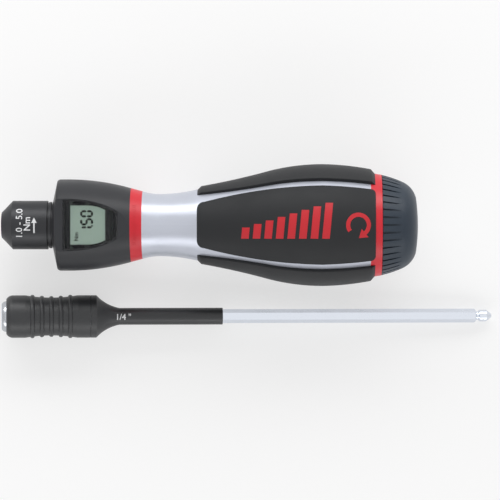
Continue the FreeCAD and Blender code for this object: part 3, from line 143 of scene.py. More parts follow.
@dataclass(frozen=True)
class Finish:
    """One real material with the way in which its surface was made.

    A metal keeps the shader's default IOR. Scales are in millimetres. The real grain is too fine
    to show in the render: about 0.1 mm from an eroded mould, 0.05 mm for flakes, and 0.02 mm or
    less for turning and drawing marks. So each grain_mm is drawn a few times coarser.
    """

    name: str
    colour: str
    roughness: float
    second: str = ""
    metallic: float = 0.0
    specular: float = 0.5
    texture: Texture = Texture.NONE
    grain_mm: float = 0.5
    relief_mm: float = 0.0
    roughness_swing: float = 0.06
    sheen: float = 0.0
    transmission: float = 0.0
    ior: float = 1.5

    def material(self) -> bpy.types.Material:
        """Give the finish's material, and make it the first time."""
        return bpy.data.materials.get(self.name) or self._make()

    def _make(self) -> bpy.types.Material:
        """Build the node tree: shader, colour drift, roughness drift and relief.

        Returns:
            The new material.
        """
        material = bpy.data.materials.new(self.name)
        material.use_nodes = True
        tree = material.node_tree
        tree.nodes.clear()
        shader = add_node(tree, "ShaderNodeBsdfPrincipled", {
            "Base Color": linear(self.colour), "Roughness": self.roughness,
            "Metallic": self.metallic, "Specular IOR Level": self.specular,
            "Sheen Weight": self.sheen, "Transmission Weight": self.transmission,
            "IOR": self.ior,
        })
        add_node(tree, "ShaderNodeOutputMaterial", links={"Surface": shader.outputs["BSDF"]})
        place = add_node(tree, "ShaderNodeTexCoord").outputs["Object"]
        flaked = self.texture is Texture.FLAKES
        grain = self._grain(tree, place) if flaked or self.relief_mm else None
        drift = self._drift(tree, place) if self.second or self.roughness_swing else None
        if self.roughness_swing:
            rough = add_node(tree, "ShaderNodeMapRange", {
                "From Min": DRIFT_LOW, "From Max": DRIFT_HIGH,
                "To Min": max(SMOOTHEST, self.roughness - self.roughness_swing),
                "To Max": min(1.0, self.roughness + self.roughness_swing),
            }, {"Value": drift})
            tree.links.new(rough.outputs["Result"], shader.inputs["Roughness"])
        if self.second:
            colour = add_node(tree, "ShaderNodeMix", {
                "data_type": "RGBA", 6: linear(self.colour), 7: linear(self.second),
            }, {0: grain if flaked else drift})
            tree.links.new(colour.outputs[2], shader.inputs["Base Color"])
        if self.relief_mm:
            bump = add_node(tree, "ShaderNodeBump", {
                "Strength": 1.0, "Distance": self.relief_mm * MM,
            }, {"Height": grain})
            tree.links.new(bump.outputs["Normal"], shader.inputs["Normal"])
        return material

    def _drift(self, tree: bpy.types.NodeTree,
               place: bpy.types.NodeSocket) -> bpy.types.NodeSocket:
        """Add the slow change of colour and roughness over the surface.

        Args:
            tree: The material's node tree.
            place: The place on the object, in metres.

        Returns:
            The change, from 0 to 1.
        """
        noise = add_node(tree, "ShaderNodeTexNoise", {
            "Scale": 1 / (DRIFT_GRAINS * self.grain_mm * MM), "Detail": DRIFT_DETAIL,
        }, {"Vector": place})
        return noise.outputs["Fac"]

    def _grain(self, tree: bpy.types.NodeTree,
               place: bpy.types.NodeSocket) -> bpy.types.NodeSocket:
        """Add the fine pattern that the surface's making left.

        Args:
            tree: The material's node tree.
            place: The place on the object, in metres.

        Returns:
            The pattern's height, from 0 to 1.
        """
        across = 1 / (self.grain_mm * MM)
        along = MARK_WIDTH_SHARE * across
        stretch = {
            Texture.TURNED: (across, along, along),
            Texture.DRAWN: (along, across, across),
        }.get(self.texture, (across, across, across))
        scaled = add_node(tree, "ShaderNodeMapping", {"Scale": stretch}, {"Vector": place})
        noise = add_node(tree, "ShaderNodeTexNoise", {
            "Scale": 1.0, "Detail": GRAIN_DETAIL, "Roughness": GRAIN_ROUGHNESS,
        }, {"Vector": scaled.outputs["Vector"]})
        return noise.outputs["Fac"]


# Black oxide on turned steel: nearly black, with a soft satin line where light runs along it.
BLACKENED_STEEL = Finish(
    "black_oxide_steel_turned", "#26272A", 0.42, second="#2E2F32", metallic=0.35,
    texture=Texture.TURNED, grain_mm=0.12, relief_mm=0.003)
# Ground hardened steel: grey metal, seen only at joints and inside.
GROUND_STEEL = Finish(
    "hardened_steel_ground", "#9FA1A4", 0.34, metallic=1.0, texture=Texture.TURNED,
    grain_mm=0.15, relief_mm=0.002)
# Sintered bronze of the bushes and the nut: warm, dull metal.
SINTERED_BRONZE = Finish(
    "sintered_bronze_turned", "#A67B4A", 0.45, second="#93693D", metallic=1.0,
    texture=Texture.TURNED, grain_mm=0.2, relief_mm=0.004)
# Polished bearing steel of the balls: small sharp highlights.
BALL_STEEL = Finish("bearing_steel_polished", "#C4C5C8", 0.12, metallic=1.0)
# Oiled spring wire: darker than ground steel.
SPRING_WIRE = Finish(
    "spring_steel_oiled", "#6E7073", 0.35, metallic=1.0, texture=Texture.DRAWN, grain_mm=0.2,
    relief_mm=0.002)
# Glass-filled polyamide of the head, from an eroded mould: charcoal with a broad soft shine.
HEAD_POLYAMIDE = Finish(
    "polyamide_charcoal_eroded", "#2D2E31", 0.42, second="#333437", specular=0.28,
    texture=Texture.ERODED, grain_mm=0.30, relief_mm=0.016)
# Clear acrylic of the display window, with an anti-reflection coat: a flat glossy face through
# which the printed mask stays dark. The low IOR stands for that coat.
WINDOW_ACRYLIC = Finish(
    "acrylic_clear_coated", "#FFFFFF", 0.03, transmission=1.0, ior=1.2, roughness_swing=0.0)
# Screen-printed border under the window: near black and dull.
MASK_INK = Finish("screen_ink_dark_grey", "#1B1D1F", 0.50, second="#1F2123", specular=0.1)
# Reflective liquid-crystal glass: grey-green and even.
LCD_GLASS = Finish(
    "lcd_reflective_grey_green", "#8EA195", 0.40, second="#899B90", specular=0.15,
    roughness_swing=0.0)
# Liquid-crystal segments of the display: greenish black and dull.
LCD_SEGMENT = Finish("lcd_segment_dark", "#0E1311", 0.50, specular=0.1)
# Solder resist on the circuit board under the display: clear green, hidden in the head.
SOLDER_RESIST = Finish("solder_resist_green", "#1E5A38", 0.35, second="#23633F")
# Stamped nickel-plated steel of cell and contact: bright grey metal, hidden in the head.
NICKEL_PLATE = Finish("nickel_plated_steel_stamped", "#B4B5B6", 0.28, metallic=1.0)
# Red polypropylene from a finely eroded mould: strong colour with a broad light edge.
SIGNAL_RED = Finish(
    "polypropylene_red_moulded", "#D21F2E", 0.38, second="#CB1D2C", texture=Texture.ERODED,
    grain_mm=0.35, relief_mm=0.006)
# Silver polypropylene with metal flakes: cool grey that brightens towards the light.
SILVER_BODY = Finish(
    "polypropylene_silver_flake", "#B9BDC9", 0.34, second="#C6CAD4", metallic=0.45,
    texture=Texture.FLAKES, grain_mm=0.18, relief_mm=0.002)
# Thermoplastic elastomer of the grip pads: dark grey, dry and matt to the touch.
GRIP_ELASTOMER = Finish(
    "elastomer_soft_touch_moulded", "#222325", 0.60, second="#28292B", specular=0.25,
    sheen=0.05, texture=Texture.MATT_RUBBER, grain_mm=0.35, relief_mm=0.012)
# Slate polyamide of the adjusting cap: blue-grey, a little smoother than the head.
SLATE_CAP = Finish(
    "polyamide_slate_moulded", "#2D3641", 0.42, second="#323C47", specular=0.32,
    texture=Texture.ERODED, grain_mm=0.30, relief_mm=0.010)
# Black polyamide of the release sleeve and the tube: satin with clear light bands on the ribs.
SLEEVE_POLYAMIDE = Finish(
    "polyamide_black_moulded", "#2A2B2D", 0.44, second="#2F3032", texture=Texture.ERODED,
    grain_mm=0.25, relief_mm=0.008)
# Satin chromed hexagon steel: bright cool metal with faint drawing marks along it.
CHROMED_SHANK = Finish(
    "chromed_hexagon_steel_drawn", "#DCE1EA", 0.22, metallic=1.0, texture=Texture.DRAWN,
    grain_mm=0.12, relief_mm=0.0015)
# Turned stainless steel of the bit socket: bright, with rings of light round its mouth.
SOCKET_STEEL = Finish(
    "stainless_steel_turned", "#B7BABF", 0.24, metallic=1.0, texture=Texture.TURNED,
    grain_mm=0.12, relief_mm=0.003)
# Pad-printed ink of the range and size marks: dull white.
WHITE_INK = Finish("pad_print_ink_white", "#E8E9EA", 0.55, second="#DFE0E2")
# Pad-printed ink of the red marks on the grip: flat strong red, duller than the red band.
RED_INK = Finish("pad_print_ink_red", "#C9202B", 0.50, second="#C11E29")

NODE_FINISHES: dict[Finish, tuple[str, ...]] = {
    BLACKENED_STEEL: ("chuck_nose", "neck_ring", "front_bush"),
    GROUND_STEEL: (
        "drive_spindle", "clutch_cam", "cross_pin", "clutch_tube", "pressure_ring",
        "adjusting_screw", "thrust_washer", "position_magnet", "bit_magnet", "cover_screw"),
    SINTERED_BRONZE: ("neck_bush", "rear_bush", "spring_nut"),
    BALL_STEEL: (
        "detent_ball", "lock_ball", "clutch_ball_1", "clutch_ball_2", "clutch_ball_3",
        "clutch_ball_4"),
    SPRING_WIRE: ("detent_ring", "torque_spring", "snap_ring", "sleeve_spring"),
    HEAD_POLYAMIDE: ("head_housing", "battery_cover"),
    WINDOW_ACRYLIC: ("display_window",),
    MASK_INK: ("display_mask",),
    LCD_GLASS: ("lcd_panel",),
    SOLDER_RESIST: ("circuit_board",),
    NICKEL_PLATE: ("coin_cell", "battery_contact"),
    SIGNAL_RED: ("front_band", "rear_ring"),
    SILVER_BODY: ("handle_body",),
    GRIP_ELASTOMER: ("display_pad", "back_pad", "left_pad", "right_pad"),
    SLATE_CAP: ("adjusting_cap",),
    SLEEVE_POLYAMIDE: ("release_sleeve", "shank_sheath"),
    CHROMED_SHANK: ("blade_shank",),
    SOCKET_STEEL: ("bit_socket",),
}


# ---------------------------------------------------------------- places and meshes

@dataclass(frozen=True)
class ToolFrame:
    """A tool's own frame: along its axis, across it, and away from its resting face, in mm."""

    origin: Vector
    along: Vector

    def matrix(self) -> Matrix:
        """Place the tool in the model.

        Returns:
            The matrix that takes a point from the tool's own millimetres to the model's metres.
        """
        across = Vector((0.0, 1.0, 0.0))
        up = self.along.cross(across).normalized()
        turn = Matrix((self.along, across, up)).transposed().to_4x4()
        return Matrix.Translation(self.origin) @ turn @ Matrix.Scale(MM, 4)


def handle_frame() -> ToolFrame:
    """Give the handle's frame, from the axis about which its chuck turns."""
    spin = next(j for j in frame["joints"] if j["name"] == "chuck_spin")
    return ToolFrame(Vector(spin["pos_m"]), Vector(spin["axis"]).normalized())


def blade_frame() -> ToolFrame:
    """Find how the blade lies, from the mouth of its bit socket.

    Returns:
        The blade's frame.
    """
    mouth = next(m for m in frame["record"]["mounts"] if m["name"] == "bit_mouth")
    along = -Vector(mouth["axis"]).normalized()
    return ToolFrame(Vector(mouth["pos_m"]) - along * (mouth["dims"]["length_mm"] / 2 * MM), along)


class Reading(Enum):
    """Which way a mark's line runs on a tool."""

    ALONG = "from the tip to the far end"
    ACROSS = "across the axis, with the letters' tops towards the tip"


@dataclass(frozen=True)
class Skin:
    """The outer face of one carried-over node, seen from above in its tool's frame."""

    node: str
    tool: ToolFrame

    def tree(self) -> BVHTree:
        """Make the node's faces ready for dropping points on them.

        Returns:
            The faces, in the tool's millimetres.
        """
        data = frame["nodes"][self.node].data
        back = self.tool.matrix().inverted()
        corners = [back @ vertex.co for vertex in data.vertices]
        return BVHTree.FromPolygons(corners, [tuple(face.vertices) for face in data.polygons])

    def drop(self, tree: BVHTree, x: float, y: float) -> tuple[Vector, Vector]:
        """Find the skin's point under a place in plan.

        Args:
            tree: What tree() gave.
            x: Place along the axis, in mm.
            y: Place across the axis, in mm.

        Returns:
            The point and the outward normal there.
        """
        start, down = Vector((x, y, RAY_START)), Vector((0.0, 0.0, -1.0))
        point, normal, _, _ = tree.ray_cast(start, down)
        return point, normal


def keep_piece(mesh: bmesh.types.BMesh, name: str, tool: ToolFrame, finish: Finish,
               body: str) -> bpy.types.Object:
    """Make a piece from a mesh in a tool's millimetres, dress it, and let it ride on a body.

    Args:
        mesh: The piece's faces, in the tool's own millimetres.
        name: The piece's name.
        tool: The frame that the mesh is in.
        finish: What the piece is made of.
        body: The moving body that carries it.

    Returns:
        The new object.
    """
    bmesh.ops.remove_doubles(mesh, verts=mesh.verts, dist=PIECE_WELD)
    bmesh.ops.recalc_face_normals(mesh, faces=mesh.faces)
    for face in mesh.faces:
        face.smooth = True
    for edge in mesh.edges:
        edge.smooth = (edge.is_manifold
                       and math.degrees(edge.calc_face_angle()) < SMOOTH_BELOW_DEG)
    data = bpy.data.meshes.new(name)
    mesh.to_mesh(data)
    mesh.free()
    data.transform(tool.matrix())
    data.materials.append(finish.material())
    piece = bpy.data.objects.new(name, data)
    bpy.context.scene.collection.objects.link(piece)
    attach(piece, body)
    LOG.info("%s: %d faces, %s, on %s", name, len(data.polygons), finish.name, body)
    return piece


def add_outline(mesh: bmesh.types.BMesh, corners: Sequence[Flat]) -> None:
    """Add one flat face from its corners in plan.

    Args:
        mesh: The mesh that takes the face.
        corners: The outline's corners, in order.
    """
    mesh.faces.new([mesh.verts.new((x, y, 0.0)) for x, y in corners])


def lettering(words: str, cap_height: float, boldness: float = 0.0) -> bmesh.types.BMesh:
    """Make flat letters of a plain sans face, starting at the origin.

    Args:
        words: What the mark says.
        cap_height: Height of a capital letter, in mm.
        boldness: How far the strokes are thickened, in mm.

    Returns:
        The letters' flat faces, along X and with their tops towards Y.
    """
    curve = bpy.data.curves.new("mark", "FONT")
    curve.body = words
    curve.size = cap_height / CAPITAL_SHARE
    curve.offset = boldness
    curve.resolution_u = LETTER_CURVE_STEPS
    holder = bpy.data.objects.new("mark", curve)
    bpy.context.scene.collection.objects.link(holder)
    bpy.context.view_layer.update()
    flat = holder.to_mesh()
    mesh = bmesh.new()
    mesh.from_mesh(flat)
    holder.to_mesh_clear()
    bpy.data.objects.remove(holder)
    bpy.data.curves.remove(curve)
    bmesh.ops.remove_doubles(mesh, verts=mesh.verts, dist=FLAT_WELD)
    low = min(vertex.co.x for vertex in mesh.verts)
    bmesh.ops.translate(mesh, verts=mesh.verts, vec=(-low, 0.0, 0.0))
    return mesh


def slice_flat(mesh: bmesh.types.BMesh, step: float) -> None:
    """Cut flat faces into strips, so that they can follow a curved skin.

    Args:
        mesh: Flat faces at height zero.
        step: Distance between cuts, in mm, along both directions.
    """
    for axis in (0, 1):
        places = [vertex.co[axis] for vertex in mesh.verts]
        normal = Vector((1.0, 0.0, 0.0)) if axis == 0 else Vector((0.0, 1.0, 0.0))
        count = int((max(places) - min(places)) / step)
        for index in range(1, count + 1):
            cut = normal * (min(places) + index * step)
            parts = [*mesh.verts, *mesh.edges, *mesh.faces]
            bmesh.ops.bisect_plane(
                mesh, geom=parts, plane_co=cut, plane_no=normal, dist=FLAT_WELD)


@dataclass(frozen=True)
class Ink:
    """A printed mark: flat shapes laid on a node's skin as a thin raised film. Sizes in mm.

    The film stands thickness above the skin and reaches sink below it. The shapes are cut
    every step, so that they follow the skin's curve.
    """

    skin: Skin
    start: Flat
    reading: Reading
    finish: Finish
    body: str
    thickness: float = 0.03
    sink: float = 0.03
    step: float = 0.6

    def lay(self, mesh: bmesh.types.BMesh, name: str) -> bpy.types.Object:
        """Print flat shapes on the skin.

        Args:
            mesh: Flat shapes, along X as the line runs and with their tops towards Y.
            name: The printed piece's name.

        Returns:
            The print.
        """
        for vertex in mesh.verts:
            along, up = vertex.co.x, vertex.co.y
            if self.reading is Reading.ACROSS:
                vertex.co = (self.start[0] - up, self.start[1] + along, 0.0)
            else:
                vertex.co = (self.start[0] + along, self.start[1] + up, 0.0)
        slice_flat(mesh, self.step)
        tree = self.skin.tree()
        bottoms = list(mesh.verts)
        places = {self._key(v): self.skin.drop(tree, v.co.x, v.co.y) for v in bottoms}
        grown = bmesh.ops.extrude_face_region(mesh, geom=list(mesh.faces))
        tops = [part for part in grown["geom"] if isinstance(part, bmesh.types.BMVert)]
        for layer, height in ((tops, self.thickness), (bottoms, -self.sink)):
            for vertex in layer:
                point, normal = places[self._key(vertex)]
                vertex.co = point + normal * height
        return keep_piece(mesh, name, self.skin.tool, self.finish, self.body)

    @staticmethod
    def _key(vertex: bmesh.types.BMVert) -> Flat:
        """Give a corner's place in plan, rounded, so that a film's two layers share it."""
        return (round(vertex.co.x, PLACE_DIGITS), round(vertex.co.y, PLACE_DIGITS))


# ---------------------------------------------------------------- chuck

@dataclass(frozen=True)
class ChuckMarks:
    """Range, unit and direction arrow printed in white on the chuck. Sizes in mm."""

    tool: ToolFrame
    range_foot: float = 7.25
    range_start: float = -3.85
    range_height: float = 2.15
    range_boldness: float = 0.03
    unit_foot: float = 9.85
    unit_start: float = -1.80
    unit_height: float = 2.20
    unit_boldness: float = 0.05
    arrow_middle: float = 11.15
    arrow_start: float = -2.60
    arrow_length: float = 5.05
    arrow_head: float = 1.75
    arrow_head_half: float = 0.90
    arrow_stroke: float = 0.50

    def build(self) -> list[bpy.types.Object]:
        """Print the three marks.

        Returns:
            The printed pieces.
        """
        skin = Skin("chuck_nose", self.tool)
        marks = (
            ("chuck_range_mark",
             lettering("1.0 - 5.0", self.range_height, self.range_boldness),
             (self.range_foot, self.range_start)),
            ("chuck_unit_mark", lettering("Nm", self.unit_height, self.unit_boldness),
             (self.unit_foot, self.unit_start)),
            ("chuck_direction_arrow", self._arrow(), (self.arrow_middle, self.arrow_start)),
        )
        return [
            Ink(skin, start, Reading.ACROSS, WHITE_INK, "chuck").lay(mesh, name)
            for name, mesh, start in marks
        ]

    def _arrow(self) -> bmesh.types.BMesh:
        """Draw the arrow along X.

        Returns:
            The arrow's flat faces, its stroke and its head.
        """
        mesh = bmesh.new()
        half, neck = self.arrow_stroke / 2, self.arrow_length - self.arrow_head
        add_outline(mesh, [(0.0, -half), (neck, -half), (neck, half), (0.0, half)])
        add_outline(mesh, [
            (neck, -self.arrow_head_half), (self.arrow_length, 0.0),
            (neck, self.arrow_head_half)])
        return mesh


# ---------------------------------------------------------------- display

class Segment(Enum):
    """The seven bars of a digit: start and end, in widths across and half heights up."""

    TOP = ((0, 2), (1, 2))
    UPPER_RIGHT = ((1, 2), (1, 1))
    LOWER_RIGHT = ((1, 1), (1, 0))
    BOTTOM = ((0, 0), (1, 0))
    LOWER_LEFT = ((0, 1), (0, 0))
    UPPER_LEFT = ((0, 2), (0, 1))
    MIDDLE = ((0, 1), (1, 1))


DIGIT_BARS: dict[str, tuple[Segment, ...]] = {
    "0": tuple(bar for bar in Segment if bar is not Segment.MIDDLE),
    "1": (Segment.UPPER_RIGHT, Segment.LOWER_RIGHT),
    "5": (Segment.TOP, Segment.UPPER_LEFT, Segment.MIDDLE, Segment.LOWER_RIGHT, Segment.BOTTOM),
}


@dataclass(frozen=True)
class DisplayFigures:
    """The figures that the display shows, as dark segments on its glass. Sizes in mm."""

    tool: ToolFrame
    foot: float = 30.35
    start: float = -0.75
    digit_height: float = 3.50
    digit_width: float = 1.65
    pitch: float = 2.62
    stroke: float = 0.72
    bar_gap: float = 0.05
    point_size: float = 0.50
    unit_foot: float = 25.85
    unit_start: float = -5.15
    unit_height: float = 1.35
    unit_boldness: float = 0.05
    film: float = 0.02
    strip: float = 4.0
    shown: str = "150"

    def build(self) -> list[bpy.types.Object]:
        """Lay the torque value and its unit on the display glass.

        Returns:
            The two groups of segments.
        """
        skin = Skin("lcd_panel", self.tool)
        value = bmesh.new()
        for index, figure in enumerate(self.shown):
            left = index * self.pitch - self.digit_width
            for bar in DIGIT_BARS[figure]:
                self._add_bar(value, bar, left)
        half = self.point_size / 2
        middle = (self.pitch - self.digit_width) / 2
        left, right = middle - half, middle + half
        add_outline(value, [(left, -half), (right, -half), (right, half), (left, half)])
        unit = lettering("Nm", self.unit_height, self.unit_boldness)
        marks = (("display_value", value, (self.foot, self.start)),
                 ("display_unit", unit, (self.unit_foot, self.unit_start)))
        return [
            Ink(skin, start, Reading.ACROSS, LCD_SEGMENT, "handle",
                self.film, self.film, self.strip).lay(mesh, name)
            for name, mesh, start in marks
        ]

    def _add_bar(self, mesh: bmesh.types.BMesh, bar: Segment, left: float) -> None:
        """Add one bar, a strip with pointed ends.

        Args:
            mesh: The mesh that takes the bar.
            bar: Which of the digit's seven bars it is.
            left: Left edge of the digit, in mm.
        """
        first, last = (
            Vector((left + across * self.digit_width, up * self.digit_height / 2))
            for across, up in bar.value)
        way = (last - first).normalized()
        side = Vector((-way.y, way.x)) * self.stroke / 2
        first, last = first + way * self.bar_gap, last - way * self.bar_gap
        point = way * self.stroke / 2
        add_outline(mesh, [tuple(corner) for corner in (
            first, first + point - side, last - point - side, last, last - point + side,
            first + point + side)])


# ---------------------------------------------------------------- red band

@dataclass(frozen=True)
class BandScale:
    """Fine raised ticks of the torque scale, moulded in the red band's top. Sizes in mm."""

    tool: ToolFrame
    start: float = 43.4
    short: float = 1.2
    long: float = 1.7
    stroke: float = 0.20
    pitch_deg: float = 3.6
    first: int = -9
    last: int = 9
    long_every: int = 5
    height: float = 0.10
    root: float = 0.05
    strip: float = 0.8

    def build(self) -> bpy.types.Object:
        """Set the ticks round the band's top.

        Returns:
            The ticks, one piece.
        """
        mesh = bmesh.new()
        skin = Skin("front_band", self.tool)
        radius = skin.drop(skin.tree(), self.start, 0.0)[0].z
        for index in range(self.first, self.last + 1):
            reach = self.short if index % self.long_every else self.long
            across = radius * math.sin(math.radians(index * self.pitch_deg))
            half = self.stroke / 2 * math.cos(math.radians(index * self.pitch_deg))
            add_outline(mesh, [
                (self.start, across - half), (self.start + reach, across - half),
                (self.start + reach, across + half), (self.start, across + half)])
        ticks = Ink(skin, (0.0, 0.0), Reading.ALONG, SIGNAL_RED, "handle",
                    self.height, self.root, self.strip)
        return ticks.lay(mesh, "band_scale_ticks")


# ---------------------------------------------------------------- grip

@dataclass(frozen=True)
class SoftPad:
    """A moulded grip pad with rounded edges, in place of its plain solid. Sizes in mm."""

    node: str
    edge_radius: float
    edge_from_deg: float = 40.0
    edge_steps: int = 3
    flat_below_deg: float = 0.5
    weld: float = 0.001

    def build(self) -> bpy.types.Object:
        """Round the pad's edges and let it stand for its node.

        Returns:
            The rounded pad.
        """
        solid = frame["nodes"][self.node]
        data = solid.data.copy()
        data.name = f"{self.node}_moulded"
        mesh = bmesh.new()
        mesh.from_mesh(data)
        bmesh.ops.remove_doubles(mesh, verts=mesh.verts, dist=self.weld * MM)
        bmesh.ops.dissolve_limit(
            mesh, angle_limit=math.radians(self.flat_below_deg), verts=mesh.verts,
            edges=mesh.edges)
        mesh.to_mesh(data)
        mesh.free()
        piece = bpy.data.objects.new(data.name, data)
        bpy.context.scene.collection.objects.link(piece)
        data.materials.clear()
        data.materials.append(GRIP_ELASTOMER.material())
        bevel = piece.modifiers.new("rounded_edges", "BEVEL")
        bevel.width = self.edge_radius * MM
        bevel.segments = self.edge_steps
        bevel.limit_method = "ANGLE"
        bevel.angle_limit = math.radians(self.edge_from_deg)
        bevel.harden_normals = True
        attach(piece, "handle")
        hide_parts(self.node)
        LOG.info("%s: rounded by %.2f mm", piece.name, self.edge_radius)
        return piece


# The pads on top and bottom lie nearly flush, so their edges are finer than the side pads'.
GRIP_PADS: tuple[SoftPad, ...] = (
    SoftPad("display_pad", 0.25), SoftPad("back_pad", 0.25),
    SoftPad("left_pad", 0.40), SoftPad("right_pad", 0.40))


@dataclass(frozen=True)
class GripGraphic:
    """Red print on the display pad: bars that grow with the torque, and a turning arrow.

    Sizes in mm.
    """

    tool: ToolFrame
    bars_start: float = 79.0
    bars_foot: float = -4.4
    bar_count: int = 8
    bar_pitch: float = 3.75
    bar_width: float = 2.45
    bar_lean: float = 1.1
    lowest: float = 3.6
    highest: float = 11.6
    turn_centre: float = 117.0
    turn_radius: float = 3.35
    turn_stroke: float = 1.35
    turn_from_deg: float = -50.0
    turn_to_deg: float = 215.0
    turn_steps: int = 40
    head_length: float = 2.6
    head_half: float = 1.75
    film: float = 0.04
    strip: float = 1.2

    def build(self) -> list[bpy.types.Object]:
        """Print the bars and the turning arrow.

        Returns:
            The two prints.
        """
        skin = Skin("display_pad", self.tool)
        marks = (("grip_torque_bars", self._bars(), self.bars_foot),
                 ("grip_turn_arrow", self._turn_arrow(), 0.0))
        return [
            Ink(skin, (0.0, foot), Reading.ALONG, RED_INK, "handle",
                self.film, self.film, self.strip).lay(mesh, name)
            for name, mesh, foot in marks
        ]

    def _bars(self) -> bmesh.types.BMesh:
        """Draw the leaning bars, each higher than the one before.

        Returns:
            The bars' flat faces.
        """
        mesh = bmesh.new()
        for index in range(self.bar_count):
            left = self.bars_start + index * self.bar_pitch
            share = index / (self.bar_count - 1)
            height = self.lowest + (self.highest - self.lowest) * share
            lean = self.bar_lean * height / self.highest
            add_outline(mesh, [
                (left, 0.0), (left + self.bar_width, 0.0), (left + self.bar_width + lean, height),
                (left + lean, height)])
        return mesh

    def _turn_arrow(self) -> bmesh.types.BMesh:
        """Draw the open ring with its arrow head.

        Returns:
            The arrow's flat faces.
        """
        mesh = bmesh.new()
        inner, outer = (
            [self._round(radius, step / self.turn_steps) for step in range(self.turn_steps + 1)]
            for radius in (self.turn_radius - self.turn_stroke / 2,
                           self.turn_radius + self.turn_stroke / 2))
        for index in range(self.turn_steps):
            add_outline(mesh, [inner[index], outer[index], outer[index + 1], inner[index + 1]])
        neck = math.radians(self.turn_from_deg)
        middle = Vector((math.cos(neck), math.sin(neck)))
        back = Vector((math.sin(neck), -math.cos(neck)))
        base = Vector((self.turn_centre, 0.0)) + middle * self.turn_radius
        add_outline(mesh, [tuple(corner) for corner in (
            base + middle * self.head_half, base - middle * self.head_half,
            base + back * self.head_length)])
        bmesh.ops.remove_doubles(mesh, verts=mesh.verts, dist=FLAT_WELD)
        return mesh

    def _round(self, radius: float, share: float) -> Flat:
        """Give a point of the open ring.

        Args:
            radius: Distance from the ring's centre, in mm.
            share: How far round the ring, from 0 to 1.

        Returns:
            The point in plan.
        """
        angle = math.radians(
            self.turn_from_deg + (self.turn_to_deg - self.turn_from_deg) * share)
        return (self.turn_centre + radius * math.cos(angle), radius * math.sin(angle))


# ---------------------------------------------------------------- blade

@dataclass(frozen=True)
class BladeMark:
    """Size of the bit socket, printed in white on the black tube. Sizes in mm."""

    tool: ToolFrame
    start: float = 38.1
    foot: float = -1.02
    height: float = 2.0
    boldness: float = 0.04
    strip: float = 0.4

    def build(self) -> bpy.types.Object:
        """Print the mark.

        Returns:
            The print.
        """
        mesh = lettering('1/4 "', self.height, self.boldness)
        ink = Ink(Skin("shank_sheath", self.tool), (self.start, self.foot), Reading.ALONG,
                  WHITE_INK, "handle", step=self.strip)
        return ink.lay(mesh, "bit_size_mark")


# ---------------------------------------------------------------- studio

@dataclass(frozen=True)
class Softbox:
    """A soft rectangular lamp that faces the tools. Sizes in metres, power in watts."""

    name: str
    place: tuple[float, float, float]
    length: float
    width: float
    power: float
    aim_height: float = 0.015

    def build(self) -> None:
        """Hang the lamp and aim it at the tools."""
        data = bpy.data.lights.new(self.name, "AREA")
        data.shape = "RECTANGLE"
        data.size, data.size_y = self.length, self.width
        data.energy = self.power
        lamp = bpy.data.objects.new(self.name, data)
        lamp.location = self.place
        aim = Vector((0.0, 0.0, self.aim_height)) - lamp.location
        lamp.rotation_euler = aim.to_track_quat("-Z", "Y").to_euler()
        bpy.context.scene.collection.objects.link(lamp)


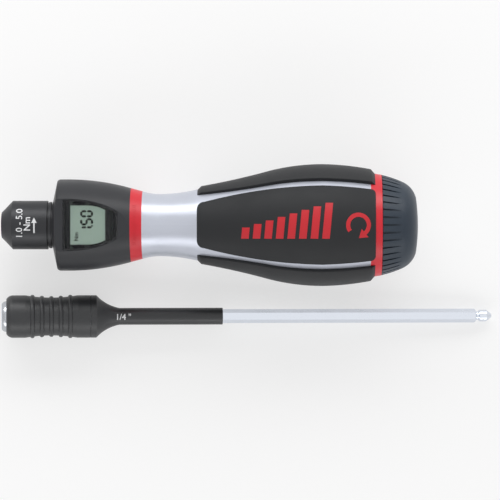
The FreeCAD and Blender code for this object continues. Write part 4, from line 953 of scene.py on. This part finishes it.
@dataclass(frozen=True)
class Studio:
    """Pale floor, pale surroundings, soft lamps and the camera. Sizes in metres.

    floor_white is how far the floor that the camera sees goes from lit card to plain white.
    The world lights the tools with world_light, and shows itself with world_seen.
    """

    axis_height: float = 0.0158
    camera_height: float = 1.020
    camera_place: Flat = (-0.0369, 0.0087)
    aim: Flat = (0.0004, 0.0005)
    frame_width: float = 0.165
    far_clip: float = 10.0
    sensor_mm: float = 36.0
    floor_size: float = 3.0
    floor_gap: float = 0.0001
    floor_white: float = 0.6
    world_light: float = 0.33
    world_seen: float = 0.80
    lamps: tuple[Softbox, ...] = (
        Softbox("far_side_softbox", (0.0, 0.62, 0.36), 1.5, 0.32, 6.0),
        Softbox("near_side_softbox", (0.0, -0.62, 0.34), 1.5, 0.28, 3.2),
        Softbox("overhead_softbox", (0.0, 0.0, 1.40), 1.5, 1.5, 1.6),
    )

    def build(self) -> None:
        """Set up floor, surroundings, lamps, camera and the plain colour view."""
        self._floor()
        self._world()
        for lamp in self.lamps:
            lamp.build()
        self._camera()
        bpy.context.scene.view_settings.view_transform = "Standard"

    def _seen_rays(self, tree: bpy.types.NodeTree) -> bpy.types.NodeSocket:
        """Tell the rays that see the surroundings, straight or by metal and glass, from the rest.

        Args:
            tree: The node tree of the floor or of the world.

        Returns:
            One for camera, mirror and glass rays, and zero for the others.
        """
        path = add_node(tree, "ShaderNodeLightPath")
        seen = path.outputs["Is Camera Ray"]
        for kind in ("Is Glossy Ray", "Is Transmission Ray"):
            seen = add_node(tree, "ShaderNodeMath", {"operation": "MAXIMUM"},
                            {0: seen, 1: path.outputs[kind]}).outputs[0]
        return seen

    def _floor(self) -> None:
        """Lay the pale floor, which keeps the tools' soft shadow."""
        half = self.floor_size / 2
        data = bpy.data.meshes.new("floor")
        data.from_pydata([(-half, -half, 0), (half, -half, 0), (half, half, 0), (-half, half, 0)],
                         [], [(0, 1, 2, 3)])
        floor = bpy.data.objects.new("floor", data)
        floor.location.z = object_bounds()[0][2] - self.floor_gap
        bpy.context.scene.collection.objects.link(floor)
        material = bpy.data.materials.new("floor_white_card")
        material.use_nodes = True
        tree = material.node_tree
        tree.nodes.clear()
        share = add_node(tree, "ShaderNodeMath", {"operation": "MULTIPLY", 1: self.floor_white},
                         {0: self._seen_rays(tree)})
        card = add_node(tree, "ShaderNodeBsdfDiffuse", {"Color": linear("#FBFBFB")})
        white = add_node(tree, "ShaderNodeEmission", {"Strength": 1.0})
        mixed = add_node(tree, "ShaderNodeMixShader", links={
            0: share.outputs[0], 1: card.outputs[0], 2: white.outputs[0]})
        add_node(tree, "ShaderNodeOutputMaterial", links={"Surface": mixed.outputs[0]})
        data.materials.append(material)
        floor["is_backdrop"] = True

    def _world(self) -> None:
        """Light the tools softly from all round."""
        world = bpy.data.worlds.new("pale_room")
        bpy.context.scene.world = world
        world.use_nodes = True
        tree = world.node_tree
        tree.nodes.clear()
        strength = add_node(tree, "ShaderNodeMapRange", {
            "To Min": self.world_light, "To Max": self.world_seen,
        }, {"Value": self._seen_rays(tree)})
        room = add_node(tree, "ShaderNodeBackground", {"Color": linear("#FFFFFF")},
                        {"Strength": strength.outputs[0]})
        add_node(tree, "ShaderNodeOutputWorld", links={"Surface": room.outputs[0]})

    def _camera(self) -> None:
        """Hang the camera over the handle's head, aimed at the middle of both tools."""
        data = bpy.data.cameras.new("camera")
        camera = bpy.data.objects.new("camera", data)
        camera.location = (*self.camera_place, self.axis_height + self.camera_height)
        aim = Vector((*self.aim, self.axis_height)) - camera.location
        sight = -aim.normalized()
        right = Vector((0.0, 1.0, 0.0)).cross(sight).normalized()
        turn = Matrix((right, sight.cross(right), sight)).transposed()
        camera.rotation_euler = turn.to_euler()
        data.sensor_width = self.sensor_mm
        data.lens = data.sensor_width * aim.length / self.frame_width
        data.clip_end = self.far_clip
        bpy.context.scene.collection.objects.link(camera)
        bpy.context.scene.camera = camera


# ---------------------------------------------------------------- the whole tool

def dress_nodes() -> None:
    """Give every carried-over node the finish of the real piece."""
    for finish, names in NODE_FINISHES.items():
        for name in names:
            node = frame["nodes"][name]
            node.data.materials.clear()
            node.data.materials.append(finish.material())
        LOG.info("%s: %s", finish.name, ", ".join(names))


def main() -> None:
    """Build the studio, then dress the tools and report each piece."""
    Studio().build()
    dress_nodes()
    handle, blade = handle_frame(), blade_frame()
    ChuckMarks(handle).build()
    DisplayFigures(handle).build()
    BandScale(handle).build()
    for pad in GRIP_PADS:
        pad.build()
    GripGraphic(handle).build()
    BladeMark(blade).build()


if __name__ == "__main__":
    logging.basicConfig(level=logging.INFO, format="%(message)s")
    main()
